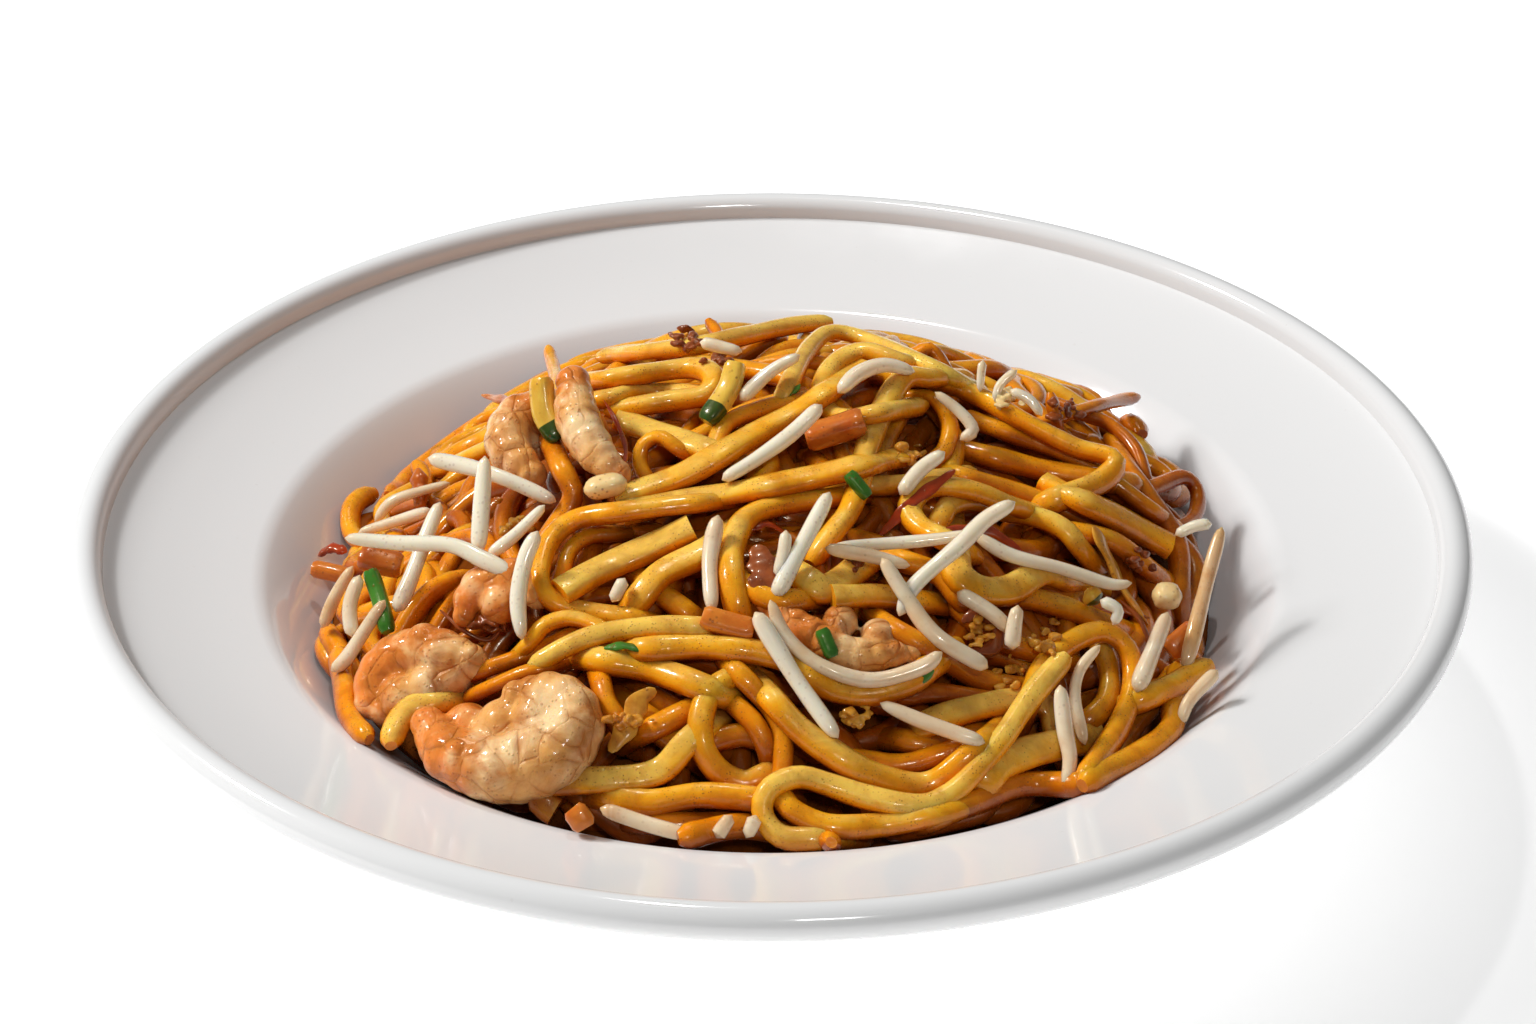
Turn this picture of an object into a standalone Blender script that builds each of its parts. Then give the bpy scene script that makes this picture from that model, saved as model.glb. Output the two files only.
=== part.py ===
"""Pad thai heaped in one wide-rimmed white plate.

Blender works in metres, +Z up. The origin is the middle of the plate's foot, on the table. Every size in this
file is in millimetres, and build_object() turns them into metres once. The heap is one solid: a plain core
with the noodles that show fused on. Prawns, bean sprouts and cut vegetables are solids of their own, laid on
the bare core.

The places of the pieces are read off one photograph, 1536 by 1024 pixels, taken from the front (looking
along +Y) and above. A place is written as the pixel where it is seen, and sight_reach() follows that sight
line down to the heap. All widths, thicknesses and heights are real sizes.
"""
import math
import random

import bmesh
import bpy
import numpy as np

MM = 0.001

# Sight lines of the photograph
VIEW_ELEVATION = math.radians(30.77)
VIEW_DISTANCE = 609.4
VIEW_TARGET_HEIGHT = 46.0
VIEW_FOCAL_PIXELS = 3000.0
VIEW_CENTRE_PIXEL = (770.4, 495.2)

# Plate
PLATE_STEPS = 40
PLATE_RADIUS = 140.0
LIP_RADIUS = 3.3
LIP_HEIGHT = 46.0
RIM_INNER_RADIUS = 103.6
RIM_INNER_HEIGHT = 34.6
RIM_DIP = 0.7
RIM_THICKNESS = 4.2
WALL_THICKNESS = 4.6
WELL_FLOOR_RADIUS = 66.0
WELL_FLOOR_HEIGHT = 8.0
BASE_UNDERSIDE = 4.2
FOOT_OUTER_RADIUS = 75.0
FOOT_INNER_RADIUS = 70.0

# Heap
MOUND_RADIUS = 97.0
MOUND_EDGE_HEIGHT = 29.4
MOUND_RISE = 41.0
SHOULDER_SPREAD = 24.0
RIGHT_SHOULDER = (80.0, 38.0, 4.0)
LEFT_HOLLOW = (-70.0, 40.0, -9.0)
CORE_DEPTH = 2.5
CORE_STEPS = 36
CORE_RINGS = 9
CORE_EDGE = 2.2
CORE_BUMP = 0.6
GAP = 0.5
CORE_GAP = 0.5
DISH_GAP = 0.8

# Noodles, flat-oval in section; turns are in radians a millimetre
NOODLE_HEIGHT_RATIO = 0.72
NOODLE_SINK = 0.9
NOODLE_SIDES = 5
NOODLE_STEP = 7.0
NOODLE_SHORTEST = 13.0
NOODLE_MAX_CLIMB = 5.5
NOODLE_TIP = 0.5
FILL_NOODLES = 31
FILL_WIDTH = (4.4, 5.6)
FILL_LENGTH = (55.0, 95.0)
FILL_REACH = 86.0
FILL_TURN = (0.035, 0.06)
FILL_TURN_CHANGE = 0.01
FILL_TURN_BACK = 0.16
FILL_OVERLAP = 0.22
FILL_TRIES = 3000
FILL_SEED = 21

# Small pieces
SPROUT_SIDES = 6
SPROUT_STEP = 6.5
SPROUT_TIP = 0.8
SPROUT_TAPER = (0.8, 1.0, 1.0, 0.7)
CUT_SIDES = 6
CUT_STEP = 6.5
CUT_TIP = 0.4
PRAWN_SIDES = 8
PRAWN_STEP = 3.6
PRAWN_RIDGES = 0.05
PRAWN_TIP = 1.2

# Height fields, one value for each square millimetre cell
FIELD_HALF = 112
FIELD_AXIS = np.arange(-FIELD_HALF, FIELD_HALF + 1, dtype=float)
FIELD_X, FIELD_Y = np.meshgrid(FIELD_AXIS, FIELD_AXIS, indexing="ij")
FIELD_LOW = -50.0

COLOURS = {
    "plate": ((0.86, 0.86, 0.85), 0.12),
    "noodles": ((0.72, 0.40, 0.08), 0.35),
    "prawn": ((0.86, 0.47, 0.24), 0.35),
    "sprout": ((0.86, 0.80, 0.62), 0.30),
    "scallion": ((0.06, 0.20, 0.05), 0.30),
    "courgette": ((0.70, 0.56, 0.14), 0.30),
    "carrot": ((0.60, 0.16, 0.03), 0.35),
    "peanut": ((0.84, 0.68, 0.38), 0.45),
}

# Noodles that show: width, then the pixels along the middle of each
NOODLE_ROUTES = [
    (4.2, [(700, 503), (620, 512), (550, 540), (543, 590), (590, 612), (640, 620)]),
    (4.6, [(568, 465), (573, 495), (552, 532)]),
    (5.6, [(562, 590), (600, 570), (650, 548), (692, 527)]),
    (5.8, [(633, 603), (675, 565), (730, 535)]),
    (5.4, [(622, 511), (680, 502), (800, 480), (860, 465)]),
    (5.6, [(615, 497), (680, 477), (740, 443), (830, 390)]),
    (4.8, [(600, 380), (695, 368), (712, 385), (670, 401), (640, 405)]),
    (4.4, [(785, 398), (797, 368), (832, 332), (910, 357), (950, 377)]),
    (4.8, [(930, 378), (890, 398), (860, 480), (835, 530)]),
    (5.0, [(900, 378), (940, 380), (1030, 425), (1112, 460), (1050, 502)]),
    (6.0, [(1080, 500), (1120, 520), (1170, 547)]),
    (5.6, [(955, 555), (958, 578), (1000, 592), (1065, 578)]),
    (4.4, [(1040, 518), (930, 487), (910, 505), (945, 535)]),
    (4.4, [(530, 668), (570, 645), (640, 628), (705, 628)]),
    (5.4, [(600, 660), (660, 672), (715, 690)]),
    (5.2, [(555, 812), (543, 796), (580, 781), (665, 768), (700, 732)]),
    (5.0, [(612, 800), (700, 795), (762, 800)]),
    (4.8, [(735, 675), (701, 718), (712, 764), (767, 775)]),
    (4.4, [(830, 838), (785, 838), (763, 800), (800, 777), (930, 808), (1000, 735), (1068, 655)]),
    (4.8, [(772, 700), (830, 752), (910, 787), (985, 742)]),
    (5.0, [(640, 820), (700, 820), (750, 812)]),
    (5.4, [(925, 725), (1010, 702), (1045, 705), (1058, 738)]),
    (4.4, [(1030, 700), (1050, 655), (1105, 632), (1133, 685), (1085, 780)]),
    (4.8, [(1060, 800), (1140, 755), (1172, 705)]),
    (5.2, [(1140, 698), (1175, 685), (1210, 665)]),
]

# Prawns: name, leaning, then the pixels along the middle of the curled body and the body's radius at each
PRAWNS = [
    ("prawn_front", 1.0, [(432, 722), (455, 746), (500, 764), (550, 756), (576, 722), (556, 694), (516, 694)],
     [3.6, 5.8, 6.6, 7.2, 6.2, 4.6, 2.8]),
    ("prawn_left", 1.0, [(470, 664), (430, 654), (392, 668), (380, 700), (402, 716)],
     [3.8, 5.4, 5.4, 4.4, 2.4]),
    ("prawn_middle", 1.0, [(538, 594), (508, 578), (474, 592), (464, 616)], [3.2, 4.4, 4.2, 2.4]),
    ("prawn_back", 0.4, [(574, 382), (578, 420), (598, 456), (620, 474)], [3.2, 4.2, 3.8, 2.2]),
    ("prawn_curled", 0.4, [(550, 404), (516, 418), (508, 448), (532, 474)], [3.0, 4.2, 4.4, 2.8]),
    ("prawn_centre", 1.0, [(768, 602), (800, 628), (850, 655), (912, 652)], [2.6, 3.8, 3.8, 2.2]),
]

# Cut vegetables: name, colour, leaning, half width, half height, pixels
CUT_PIECES = [
    ("courgette_left", "courgette", 0.12, 2.4, 2.0, [(541, 378), (545, 415), (560, 440)]),
    ("courgette_back", "courgette", 0.6, 2.2, 1.8, [(736, 362), (728, 390), (706, 422)]),
    ("scallion_left", "scallion", 0.6, 1.6, 1.4, [(370, 570), (380, 600), (388, 632)]),
    ("scallion_back", "scallion", 1.0, 1.3, 1.2, [(848, 473), (858, 485), (868, 497)]),
    ("scallion_middle", "scallion", 1.0, 1.4, 1.2, [(821, 629), (827, 643), (833, 657)]),
    ("carrot_back", "carrot", 1.0, 2.8, 2.4, [(806, 438), (835, 430), (864, 420)]),
    ("carrot_middle", "carrot", 1.0, 2.2, 1.8, [(702, 616), (728, 624), (754, 630)]),
    ("carrot_left", "carrot", 0.4, 1.7, 1.6, [(312, 568), (330, 572), (348, 576)]),
    ("carrot_side", "carrot", 1.0, 2.6, 2.0, [(360, 556), (382, 562), (402, 566)]),
    ("carrot_right", "carrot", 1.0, 2.4, 1.8, [(1168, 652), (1182, 640), (1196, 628)]),
    ("carrot_front", "carrot", 1.0, 2.2, 1.8, [(572, 808), (580, 818), (586, 828)]),
    ("peanut", "peanut", 1.0, 2.2, 2.0, [(584, 491), (606, 486), (627, 482)]),
    ("bean", "peanut", 1.0, 2.6, 2.2, [(1152, 594), (1167, 596), (1182, 596)]),
    ("green_bean", "courgette", 1.0, 1.9, 1.7, [(1086, 590), (1093, 597), (1098, 604)]),
]

# Bean sprouts: leaning, width, then the pixels along the middle of each
SPROUT_ROUTES = [
    (0.35, 3.5, [(345, 538), (400, 543), (450, 545), (518, 577)]),
    (0.5, 3.6, [(440, 502), (425, 540), (396, 612)]),
    (0.3, 3.5, [(428, 458), (480, 470), (556, 502)]),
    (0.5, 3.6, [(485, 456), (482, 500), (478, 553)]),
    (0.8, 3.2, [(385, 600), (360, 636), (331, 671)]),
    (0.8, 3.0, [(353, 566), (335, 597), (322, 628)]),
    (0.6, 3.4, [(538, 531), (521, 580), (522, 640)]),
    (0.6, 2.8, [(545, 505), (515, 535), (492, 554)]),
    (1.0, 3.4, [(755, 612), (790, 668), (838, 738)]),
    (1.0, 3.2, [(1060, 690), (1065, 730), (1066, 786)]),
    (0.8, 3.4, [(1015, 502), (960, 545), (899, 616)]),
    (1.0, 3.6, [(882, 558), (920, 618), (988, 668)]),
    (1.0, 2.8, [(830, 545), (900, 540), (972, 534)]),
    (1.0, 3.0, [(975, 540), (1060, 570), (1132, 583)]),
    (0.7, 3.4, [(822, 405), (790, 435), (722, 480)]),
    (1.0, 3.0, [(718, 515), (710, 560), (712, 606)]),
    (0.7, 3.4, [(830, 492), (790, 568), (775, 594)]),
    (1.0, 2.8, [(785, 530), (782, 552), (780, 575)]),
    (1.0, 3.4, [(960, 594), (990, 612), (1008, 630)]),
    (0.35, 3.2, [(1219, 535), (1208, 575), (1187, 664)]),
    (1.0, 3.4, [(838, 393), (865, 374), (915, 372)]),
    (1.0, 3.2, [(945, 452), (920, 470), (900, 495)]),
    (1.0, 3.4, [(1166, 616), (1154, 650), (1138, 690)]),
    (1.0, 3.0, [(612, 812), (650, 825), (700, 836)]),
    (1.0, 2.8, [(800, 355), (770, 372), (742, 398)]),
]


def plate_wall_inside():
    """Half section of the plate's upper side, from the middle out to where the lip starts."""
    points = [(0.0, WELL_FLOOR_HEIGHT), (WELL_FLOOR_RADIUS, WELL_FLOOR_HEIGHT)]
    run = RIM_INNER_RADIUS - WELL_FLOOR_RADIUS
    rise = RIM_INNER_HEIGHT - WELL_FLOOR_HEIGHT
    for part in (0.2, 0.38, 0.55, 0.7, 0.82, 0.92, 1.0):
        curve = part ** 2 * (1.35 - 0.35 * part ** 3)
        points.append((WELL_FLOOR_RADIUS + run * part, WELL_FLOOR_HEIGHT + rise * curve))
    lip_centre = PLATE_RADIUS - LIP_RADIUS
    rim_end = lip_centre - LIP_RADIUS
    rim_end_height = LIP_HEIGHT - LIP_RADIUS * 0.45
    for part in (0.12, 0.5, 1.0):
        radius = RIM_INNER_RADIUS + (rim_end - RIM_INNER_RADIUS) * part
        height = RIM_INNER_HEIGHT + (rim_end_height - RIM_INNER_HEIGHT) * part
        points.append((radius, height - RIM_DIP * math.sin(math.pi * part)))
    return points


def plate_section():
    """Whole half section: up the inside, round the rolled lip, back under the rim and round the foot."""
    points = plate_wall_inside()
    lip_centre = PLATE_RADIUS - LIP_RADIUS
    for degrees in (150, 105, 60, 20, -20, -65):
        angle = math.radians(degrees)
        points.append((lip_centre + LIP_RADIUS * math.cos(angle), LIP_HEIGHT + LIP_RADIUS * math.sin(angle)))
    points.append((RIM_INNER_RADIUS + 22, LIP_HEIGHT - LIP_RADIUS * 0.45 - RIM_THICKNESS - 2.2))
    points.append((RIM_INNER_RADIUS + 3, RIM_INNER_HEIGHT - RIM_THICKNESS + 0.2))
    points.append((RIM_INNER_RADIUS - 8, RIM_INNER_HEIGHT - WALL_THICKNESS - 7.5))
    points.append((RIM_INNER_RADIUS - 19, WELL_FLOOR_HEIGHT + 0.5))
    points.append((FOOT_OUTER_RADIUS + 2.5, BASE_UNDERSIDE - 0.4))
    points.append((FOOT_OUTER_RADIUS, 0.0))
    points.append((FOOT_INNER_RADIUS, 0.0))
    points.append((FOOT_INNER_RADIUS - 2.0, BASE_UNDERSIDE))
    points.append((0.0, BASE_UNDERSIDE))
    return points


DISH_LINE = np.array(plate_wall_inside())


def dish_height(x, y):
    """Height of the plate's upper side above the point (x, y)."""
    return np.interp(np.hypot(x, y), DISH_LINE[:, 0], DISH_LINE[:, 1])


def mound_height(x, y):
    """Mean height of the noodles that show."""
    height = MOUND_EDGE_HEIGHT + MOUND_RISE * (1 - (x * x + y * y) / MOUND_RADIUS ** 2)
    for middle_x, middle_y, swell in (RIGHT_SHOULDER, LEFT_HOLLOW):
        away = (x - middle_x) ** 2 + (y - middle_y) ** 2
        height = height + swell * np.exp(-away / (2 * SHOULDER_SPREAD ** 2))
    return height


def core_height(x, y):
    """Upper side of the bare core, gently uneven."""
    swell = np.sin(x * 0.085 + 1.0) * np.cos(y * 0.075 - 0.6) + 0.5 * np.sin((x + y) * 0.13)
    thinnest = dish_height(x, y) + DISH_GAP + CORE_EDGE
    return np.maximum(mound_height(x, y) - CORE_DEPTH + CORE_BUMP * swell, thinnest)


def mound_line(radius):
    """Half section of the mound without its shoulders."""
    return MOUND_EDGE_HEIGHT + MOUND_RISE * (1 - (radius / MOUND_RADIUS) ** 2)


def core_edge_radius():
    """Radius at which the core runs out against the plate's wall."""
    radii = np.linspace(0, MOUND_RADIUS, 400)
    room = mound_line(radii) - CORE_DEPTH - dish_height(radii, 0.0) - DISH_GAP
    return radii[np.flatnonzero(room > CORE_EDGE)[-1]]


def sight_line(pixel):
    """Start and direction of the sight line through one pixel of the photograph."""
    right = np.array([1.0, 0.0, 0.0])
    up = np.array([0.0, math.sin(VIEW_ELEVATION), math.cos(VIEW_ELEVATION)])
    ahead = np.array([0.0, math.cos(VIEW_ELEVATION), -math.sin(VIEW_ELEVATION)])
    start = np.array([0.0, 0.0, VIEW_TARGET_HEIGHT]) - ahead * VIEW_DISTANCE
    across = (pixel[0] - VIEW_CENTRE_PIXEL[0]) / VIEW_FOCAL_PIXELS
    down = (pixel[1] - VIEW_CENTRE_PIXEL[1]) / VIEW_FOCAL_PIXELS
    return start, ahead + right * across - up * down


def sight_reach(pixel):
    """How far along its sight line a pixel shows the heap, or the plate beside it."""
    start, direction = sight_line(pixel)
    reach = np.arange(VIEW_DISTANCE - 150, VIEW_DISTANCE + 190, 0.5)
    line = start + direction * reach[:, None]
    surface = np.maximum(mound_height(line[:, 0], line[:, 1]), dish_height(line[:, 0], line[:, 1]))
    over = line[:, 2] - surface
    under = np.flatnonzero(over < 0)
    return reach[under[0] if len(under) else np.argmin(over)]


def on_sight_line(pixel, reach):
    """Point of a pixel's sight line at one reach."""
    start, direction = sight_line(pixel)
    return start + direction * reach


def at_height(pixel, height):
    """Point of a pixel's sight line at one height."""
    start, direction = sight_line(pixel)
    return start + direction * ((height - start[2]) / direction[2])


def smooth_route(corners, spacing):
    """Catmull-Rom curve through the corners, with points about one spacing apart."""
    corners = np.array(corners, dtype=float)
    ends = np.vstack([2 * corners[0] - corners[1], corners, 2 * corners[-1] - corners[-2]])
    pieces = []
    for index in range(len(corners) - 1):
        before, first, second, after = ends[index:index + 4]
        t = np.linspace(0, 1, 24, endpoint=False)[:, None]
        bend = 2 * before - 5 * first + 4 * second - after
        twist = -before + 3 * first - 3 * second + after
        pieces.append(0.5 * (2 * first + (second - before) * t + bend * t ** 2 + twist * t ** 3))
    dense = np.vstack(pieces + [corners[-1:]])
    lengths = np.concatenate([[0], np.cumsum(np.linalg.norm(np.diff(dense, axis=0), axis=1))])
    count = max(3, int(round(lengths[-1] / spacing)) + 1)
    wanted = np.linspace(0, lengths[-1], count)
    return np.stack([np.interp(wanted, lengths, dense[:, axis]) for axis in range(dense.shape[1])], axis=1)


class Surface:
    """Heights of what lies there already: a noodle sinks into soft, the food heap, but not into hard."""

    def __init__(self):
        inside = np.hypot(FIELD_X, FIELD_Y) < core_edge_radius()
        self.soft = np.where(inside, core_height(FIELD_X, FIELD_Y), FIELD_LOW)
        self.hard = dish_height(FIELD_X, FIELD_Y) + DISH_GAP

    def window(self, point, radius):
        low = np.floor(point[:2] - radius + FIELD_HALF).astype(int)
        high = np.ceil(point[:2] + radius + FIELD_HALF).astype(int) + 1
        low = np.clip(low, 0, 2 * FIELD_HALF)
        high = np.clip(high, low + 1, 2 * FIELD_HALF + 1)
        rows = slice(low[0], high[0])
        columns = slice(low[1], high[1])
        away = np.hypot(FIELD_X[rows, columns] - point[0], FIELD_Y[rows, columns] - point[1])
        crown = np.where(away < radius, np.sqrt(np.maximum(radius ** 2 - away ** 2, 0)), np.nan)
        return (rows, columns), crown

    def rest_height(self, point, radius, flat, sink):
        """Height at which a round piece of this radius lies on what is there."""
        place, crown = self.window(point, radius)
        soft = np.nanmax(self.soft[place] + crown * flat) - sink
        hard = np.nanmax(self.hard[place] + crown * flat)
        return max(soft, hard)

    def lay(self, route, radii, flat, sink):
        """Heights along a route, never under what lies there, bridging narrow gaps as a stiff piece does."""
        stations = zip(route, radii)
        needed = np.array([self.rest_height(point, radius, flat, sink) for point, radius in stations])
        heights = needed.copy()
        for _ in range(6):
            padded = np.pad(heights, 2, mode="edge")
            mean = (padded[:-4] + padded[1:-3] + padded[2:-2] + padded[3:-1] + padded[4:]) / 5
            heights = np.maximum(needed, mean)
        return heights

    def mark(self, field, route, radii, flat, gap):
        """Raise one height field to the top of a piece that now lies there."""
        for point, radius in zip(route, radii):
            place, crown = self.window(point, radius + gap)
            top = point[2] + np.nan_to_num(crown * flat, nan=FIELD_LOW - 100)
            field[place] = np.maximum(field[place], top)


def lay_seen_piece(surface, pixels, radii, flat, sink, leaning=1.0):
    """Fine route of a piece seen at these pixels, lying on what is there, and its radius along it.

    Leaning is the share of the heap's depth that the piece follows: 1 lies down, and a stiff piece with a
    small share stands off the heap, towards the viewer, from its nearest point on.
    """
    fine_pixels = smooth_route(pixels, 4.0)
    along = np.linspace(0, 1, len(fine_pixels))
    fine_radii = np.interp(along, np.linspace(0, 1, len(radii)), radii)
    reaches = np.array([sight_reach(pixel) for pixel in fine_pixels])
    reaches = reaches.min() + leaning * (reaches - reaches.min())
    route = np.array([on_sight_line(pixel, reach) for pixel, reach in zip(fine_pixels, reaches)])
    if leaning < 1.0:
        route[:, 2] = np.maximum(route[:, 2], surface.lay(route, fine_radii, flat, sink))
        return route, fine_radii
    for _ in range(3):
        heights = surface.lay(route, fine_radii, flat, sink)
        seen = np.array([at_height(pixel, height) for pixel, height in zip(fine_pixels, heights)])
        shift = seen[:, :2] - route[:, :2]
        longest = np.maximum(np.linalg.norm(shift, axis=1, keepdims=True), 1e-6)
        route[:, :2] += shift * np.minimum(1.0, 5.0 / longest)
        for axis in (0, 1):
            padded = np.pad(route[:, axis], 2, mode="edge")
            inner = (padded[1:-3] + padded[2:-2] + padded[3:-1]) / 3
            route[1:-1, axis] = inner[1:-1]
    route[:, 2] = surface.lay(route, fine_radii, flat, sink)
    return route, fine_radii


def thin_out(route, radii, spacing):
    """The same route with a point about one spacing apart, raised where its straight pieces would sag."""
    steps = np.linalg.norm(np.diff(route, axis=0), axis=1)
    lengths = np.concatenate([[0], np.cumsum(steps)])
    count = max(3, int(round(lengths[-1] / spacing)) + 1)
    wanted = np.linspace(0, lengths[-1], count)
    places = np.stack([np.interp(wanted, lengths, route[:, axis]) for axis in range(3)], axis=1)
    sag = np.maximum(route[:, 2] - np.interp(lengths, wanted, places[:, 2]), 0)
    for index in range(count):
        near = np.abs(lengths - wanted[index]) <= lengths[-1] / (count - 1)
        places[index, 2] += sag[near].max(initial=0.0)
    return places, np.interp(wanted, lengths, radii)


def swept_mesh(name, route, half_widths, flat, sides, tip):
    """Closed tube along a route, oval in section, with a blunt cone of height tip at each end."""
    route = np.asarray(route)
    tangents = np.gradient(route, axis=0)
    tangents /= np.linalg.norm(tangents, axis=1, keepdims=True)
    mesh = bmesh.new()
    rings = []
    for point, tangent, half_width in zip(route, tangents, half_widths):
        across = np.cross(tangent, (0.0, 0.0, 1.0))
        across /= max(np.linalg.norm(across), 1e-6)
        upward = np.cross(across, tangent)
        ring = []
        for side in range(sides):
            angle = 2 * math.pi * side / sides
            aside = across * half_width * math.cos(angle)
            above = upward * half_width * flat * math.sin(angle)
            ring.append(mesh.verts.new((point + aside + above) * MM))
        rings.append(ring)
    for ring, following in zip(rings, rings[1:]):
        for side in range(sides):
            after = (side + 1) % sides
            mesh.faces.new((ring[side], ring[after], following[after], following[side]))
    for ring, point, direction in ((rings[0], route[0], -tangents[0]), (rings[-1], route[-1], tangents[-1])):
        end = mesh.verts.new((point + direction * tip) * MM)
        for side in range(sides):
            mesh.faces.new((ring[side], ring[(side + 1) % sides], end))
    bmesh.ops.recalc_face_normals(mesh, faces=mesh.faces[:])
    bmesh.ops.triangulate(mesh, faces=mesh.faces[:])
    data = bpy.data.meshes.new(name)
    mesh.to_mesh(data)
    mesh.free()
    return data


def turned_mesh(name, section, steps, lift=None):
    """Solid of revolution about Z from a closed half section that starts and ends on the axis."""
    mesh = bmesh.new()
    corners = [mesh.verts.new((radius * MM, 0.0, height * MM)) for radius, height in section]
    edges = [mesh.edges.new(pair) for pair in zip(corners, corners[1:])]
    bmesh.ops.spin(mesh, geom=corners + edges, cent=(0, 0, 0), axis=(0, 0, 1), angle=2 * math.pi, steps=steps)
    bmesh.ops.remove_doubles(mesh, verts=mesh.verts[:], dist=0.00001)
    if lift:
        for corner in mesh.verts:
            corner.co.z += lift(corner.co.x / MM, corner.co.y / MM, corner.co.z / MM) * MM
    bmesh.ops.recalc_face_normals(mesh, faces=mesh.faces[:])
    bmesh.ops.triangulate(mesh, faces=mesh.faces[:])
    data = bpy.data.meshes.new(name)
    mesh.to_mesh(data)
    mesh.free()
    return data


def finish_material(kind):
    material = bpy.data.materials.get(kind)
    if material is None:
        colour, roughness = COLOURS[kind]
        material = bpy.data.materials.new(kind)
        material.use_nodes = True
        shader = material.node_tree.nodes["Principled BSDF"]
        shader.inputs["Base Color"].default_value = (*colour, 1.0)
        shader.inputs["Roughness"].default_value = roughness
        shader.inputs["Metallic"].default_value = 0.0
    return material


def build_object(name, data, kind):
    data.materials.append(finish_material(kind))
    piece = bpy.data.objects.new(name, data)
    bpy.context.scene.collection.objects.link(piece)
    return piece


def make_plate():
    build_object("plate", turned_mesh("plate", plate_section(), PLATE_STEPS), "plate")


def core_section():
    """Half section of the bare core, which fills the well up to its wall."""
    edge = core_edge_radius()
    upper = []
    for ring in range(CORE_RINGS + 1):
        radius = edge * math.sin(math.pi / 2 * ring / CORE_RINGS)
        upper.append((radius, mound_line(radius) - CORE_DEPTH))
    lower = []
    for part in (1.0, 0.94, 0.87, WELL_FLOOR_RADIUS / edge):
        lower.append((edge * part, float(dish_height(edge * part, 0.0)) + DISH_GAP))
    lower.append((0.0, WELL_FLOOR_HEIGHT + DISH_GAP))
    return upper + lower


def core_unevenness(x, y, z):
    """Bumps of the upper side only."""
    plain = mound_line(math.hypot(x, y)) - CORE_DEPTH
    return float(core_height(x, y)) - plain if z > plain - 0.01 else 0.0


def make_prawns(surface):
    for name, leaning, pixels, radii in PRAWNS:
        route, fine_radii = lay_seen_piece(surface, pixels, radii, 1.0, -CORE_GAP, leaning)
        route, fine_radii = thin_out(route, fine_radii, PRAWN_STEP)
        ridges = 1 + PRAWN_RIDGES * np.where(np.arange(len(route)) % 2 == 0, 0, -1)
        data = swept_mesh(name, route, fine_radii * ridges, 1.0, PRAWN_SIDES, PRAWN_TIP)
        build_object(name, data, "prawn")
        surface.mark(surface.hard, *lengthened(route, fine_radii), 1.0, GAP)


def lengthened(route, radii):
    """A route read every millimetre, for marking heights."""
    return thin_out(route, radii, 1.0)


def make_cut_pieces(surface):
    for name, kind, leaning, half_width, half_height, pixels in CUT_PIECES:
        flat = half_height / half_width
        widths = [half_width, half_width]
        route, radii = lay_seen_piece(surface, pixels, widths, flat, -CORE_GAP, leaning)
        route, radii = thin_out(route, radii, CUT_STEP)
        build_object(name, swept_mesh(name, route, radii, flat, CUT_SIDES, CUT_TIP), kind)
        surface.mark(surface.hard, *lengthened(route, radii), flat, GAP)


def make_sprouts(surface):
    for number, (leaning, width, pixels) in enumerate(SPROUT_ROUTES, start=1):
        taper = [width / 2 * share for share in SPROUT_TAPER]
        route, radii = lay_seen_piece(surface, pixels, taper, 1.0, -CORE_GAP, leaning)
        route, radii = thin_out(route, radii, SPROUT_STEP)
        name = f"sprout_{number:02d}"
        build_object(name, swept_mesh(name, route, radii, 1.0, SPROUT_SIDES, SPROUT_TIP), "sprout")
        surface.mark(surface.hard, *lengthened(route, radii), 1.0, GAP)


def clear_runs(route):
    """Stretches of a noodle that climb over nothing higher than a sprout."""
    climb = route[:, 2] - core_height(route[:, 0], route[:, 1])
    wall = dish_height(route[:, 0], route[:, 1]) + DISH_GAP + NOODLE_MAX_CLIMB
    low = (climb < NOODLE_MAX_CLIMB) | (route[:, 2] < wall)
    runs = []
    start = None
    for index, fine in enumerate(list(low) + [False]):
        if fine and start is None:
            start = index
        if not fine and start is not None:
            runs.append((start, index))
            start = None
    return runs


def add_noodle(surface, route, radii, gathered):
    """Keep the stretches of a laid noodle that lie clear, and mark their tops."""
    for start, end in clear_runs(route):
        part = route[start:end]
        length = np.linalg.norm(np.diff(part, axis=0), axis=1).sum() if end - start > 1 else 0
        if length < NOODLE_SHORTEST:
            continue
        places, widths = thin_out(part, radii[start:end], NOODLE_STEP)
        name = f"noodle_{len(gathered):02d}"
        data = swept_mesh(name, places, widths, NOODLE_HEIGHT_RATIO, NOODLE_SIDES, NOODLE_TIP)
        gathered.append(data)
        surface.mark(surface.soft, *lengthened(places, widths), NOODLE_HEIGHT_RATIO, 0.0)


def wandering_route(draw, start):
    """A noodle's loose course in plan, turning back before it reaches the plate's wall."""
    length = draw.uniform(*FILL_LENGTH)
    heading = draw.uniform(0, 2 * math.pi)
    turn = draw.uniform(-FILL_TURN[0], FILL_TURN[0])
    places = [np.array(start)]
    for _ in range(int(length)):
        turn = max(-FILL_TURN[1], min(FILL_TURN[1], turn + draw.uniform(-FILL_TURN_CHANGE, FILL_TURN_CHANGE)))
        place = places[-1]
        inward = math.atan2(-place[1], -place[0])
        if math.hypot(*place) > FILL_REACH:
            heading += FILL_TURN_BACK * math.copysign(1, math.sin(inward - heading))
        heading += turn
        places.append(place + np.array([math.cos(heading), math.sin(heading)]))
    return np.array(places)


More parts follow.
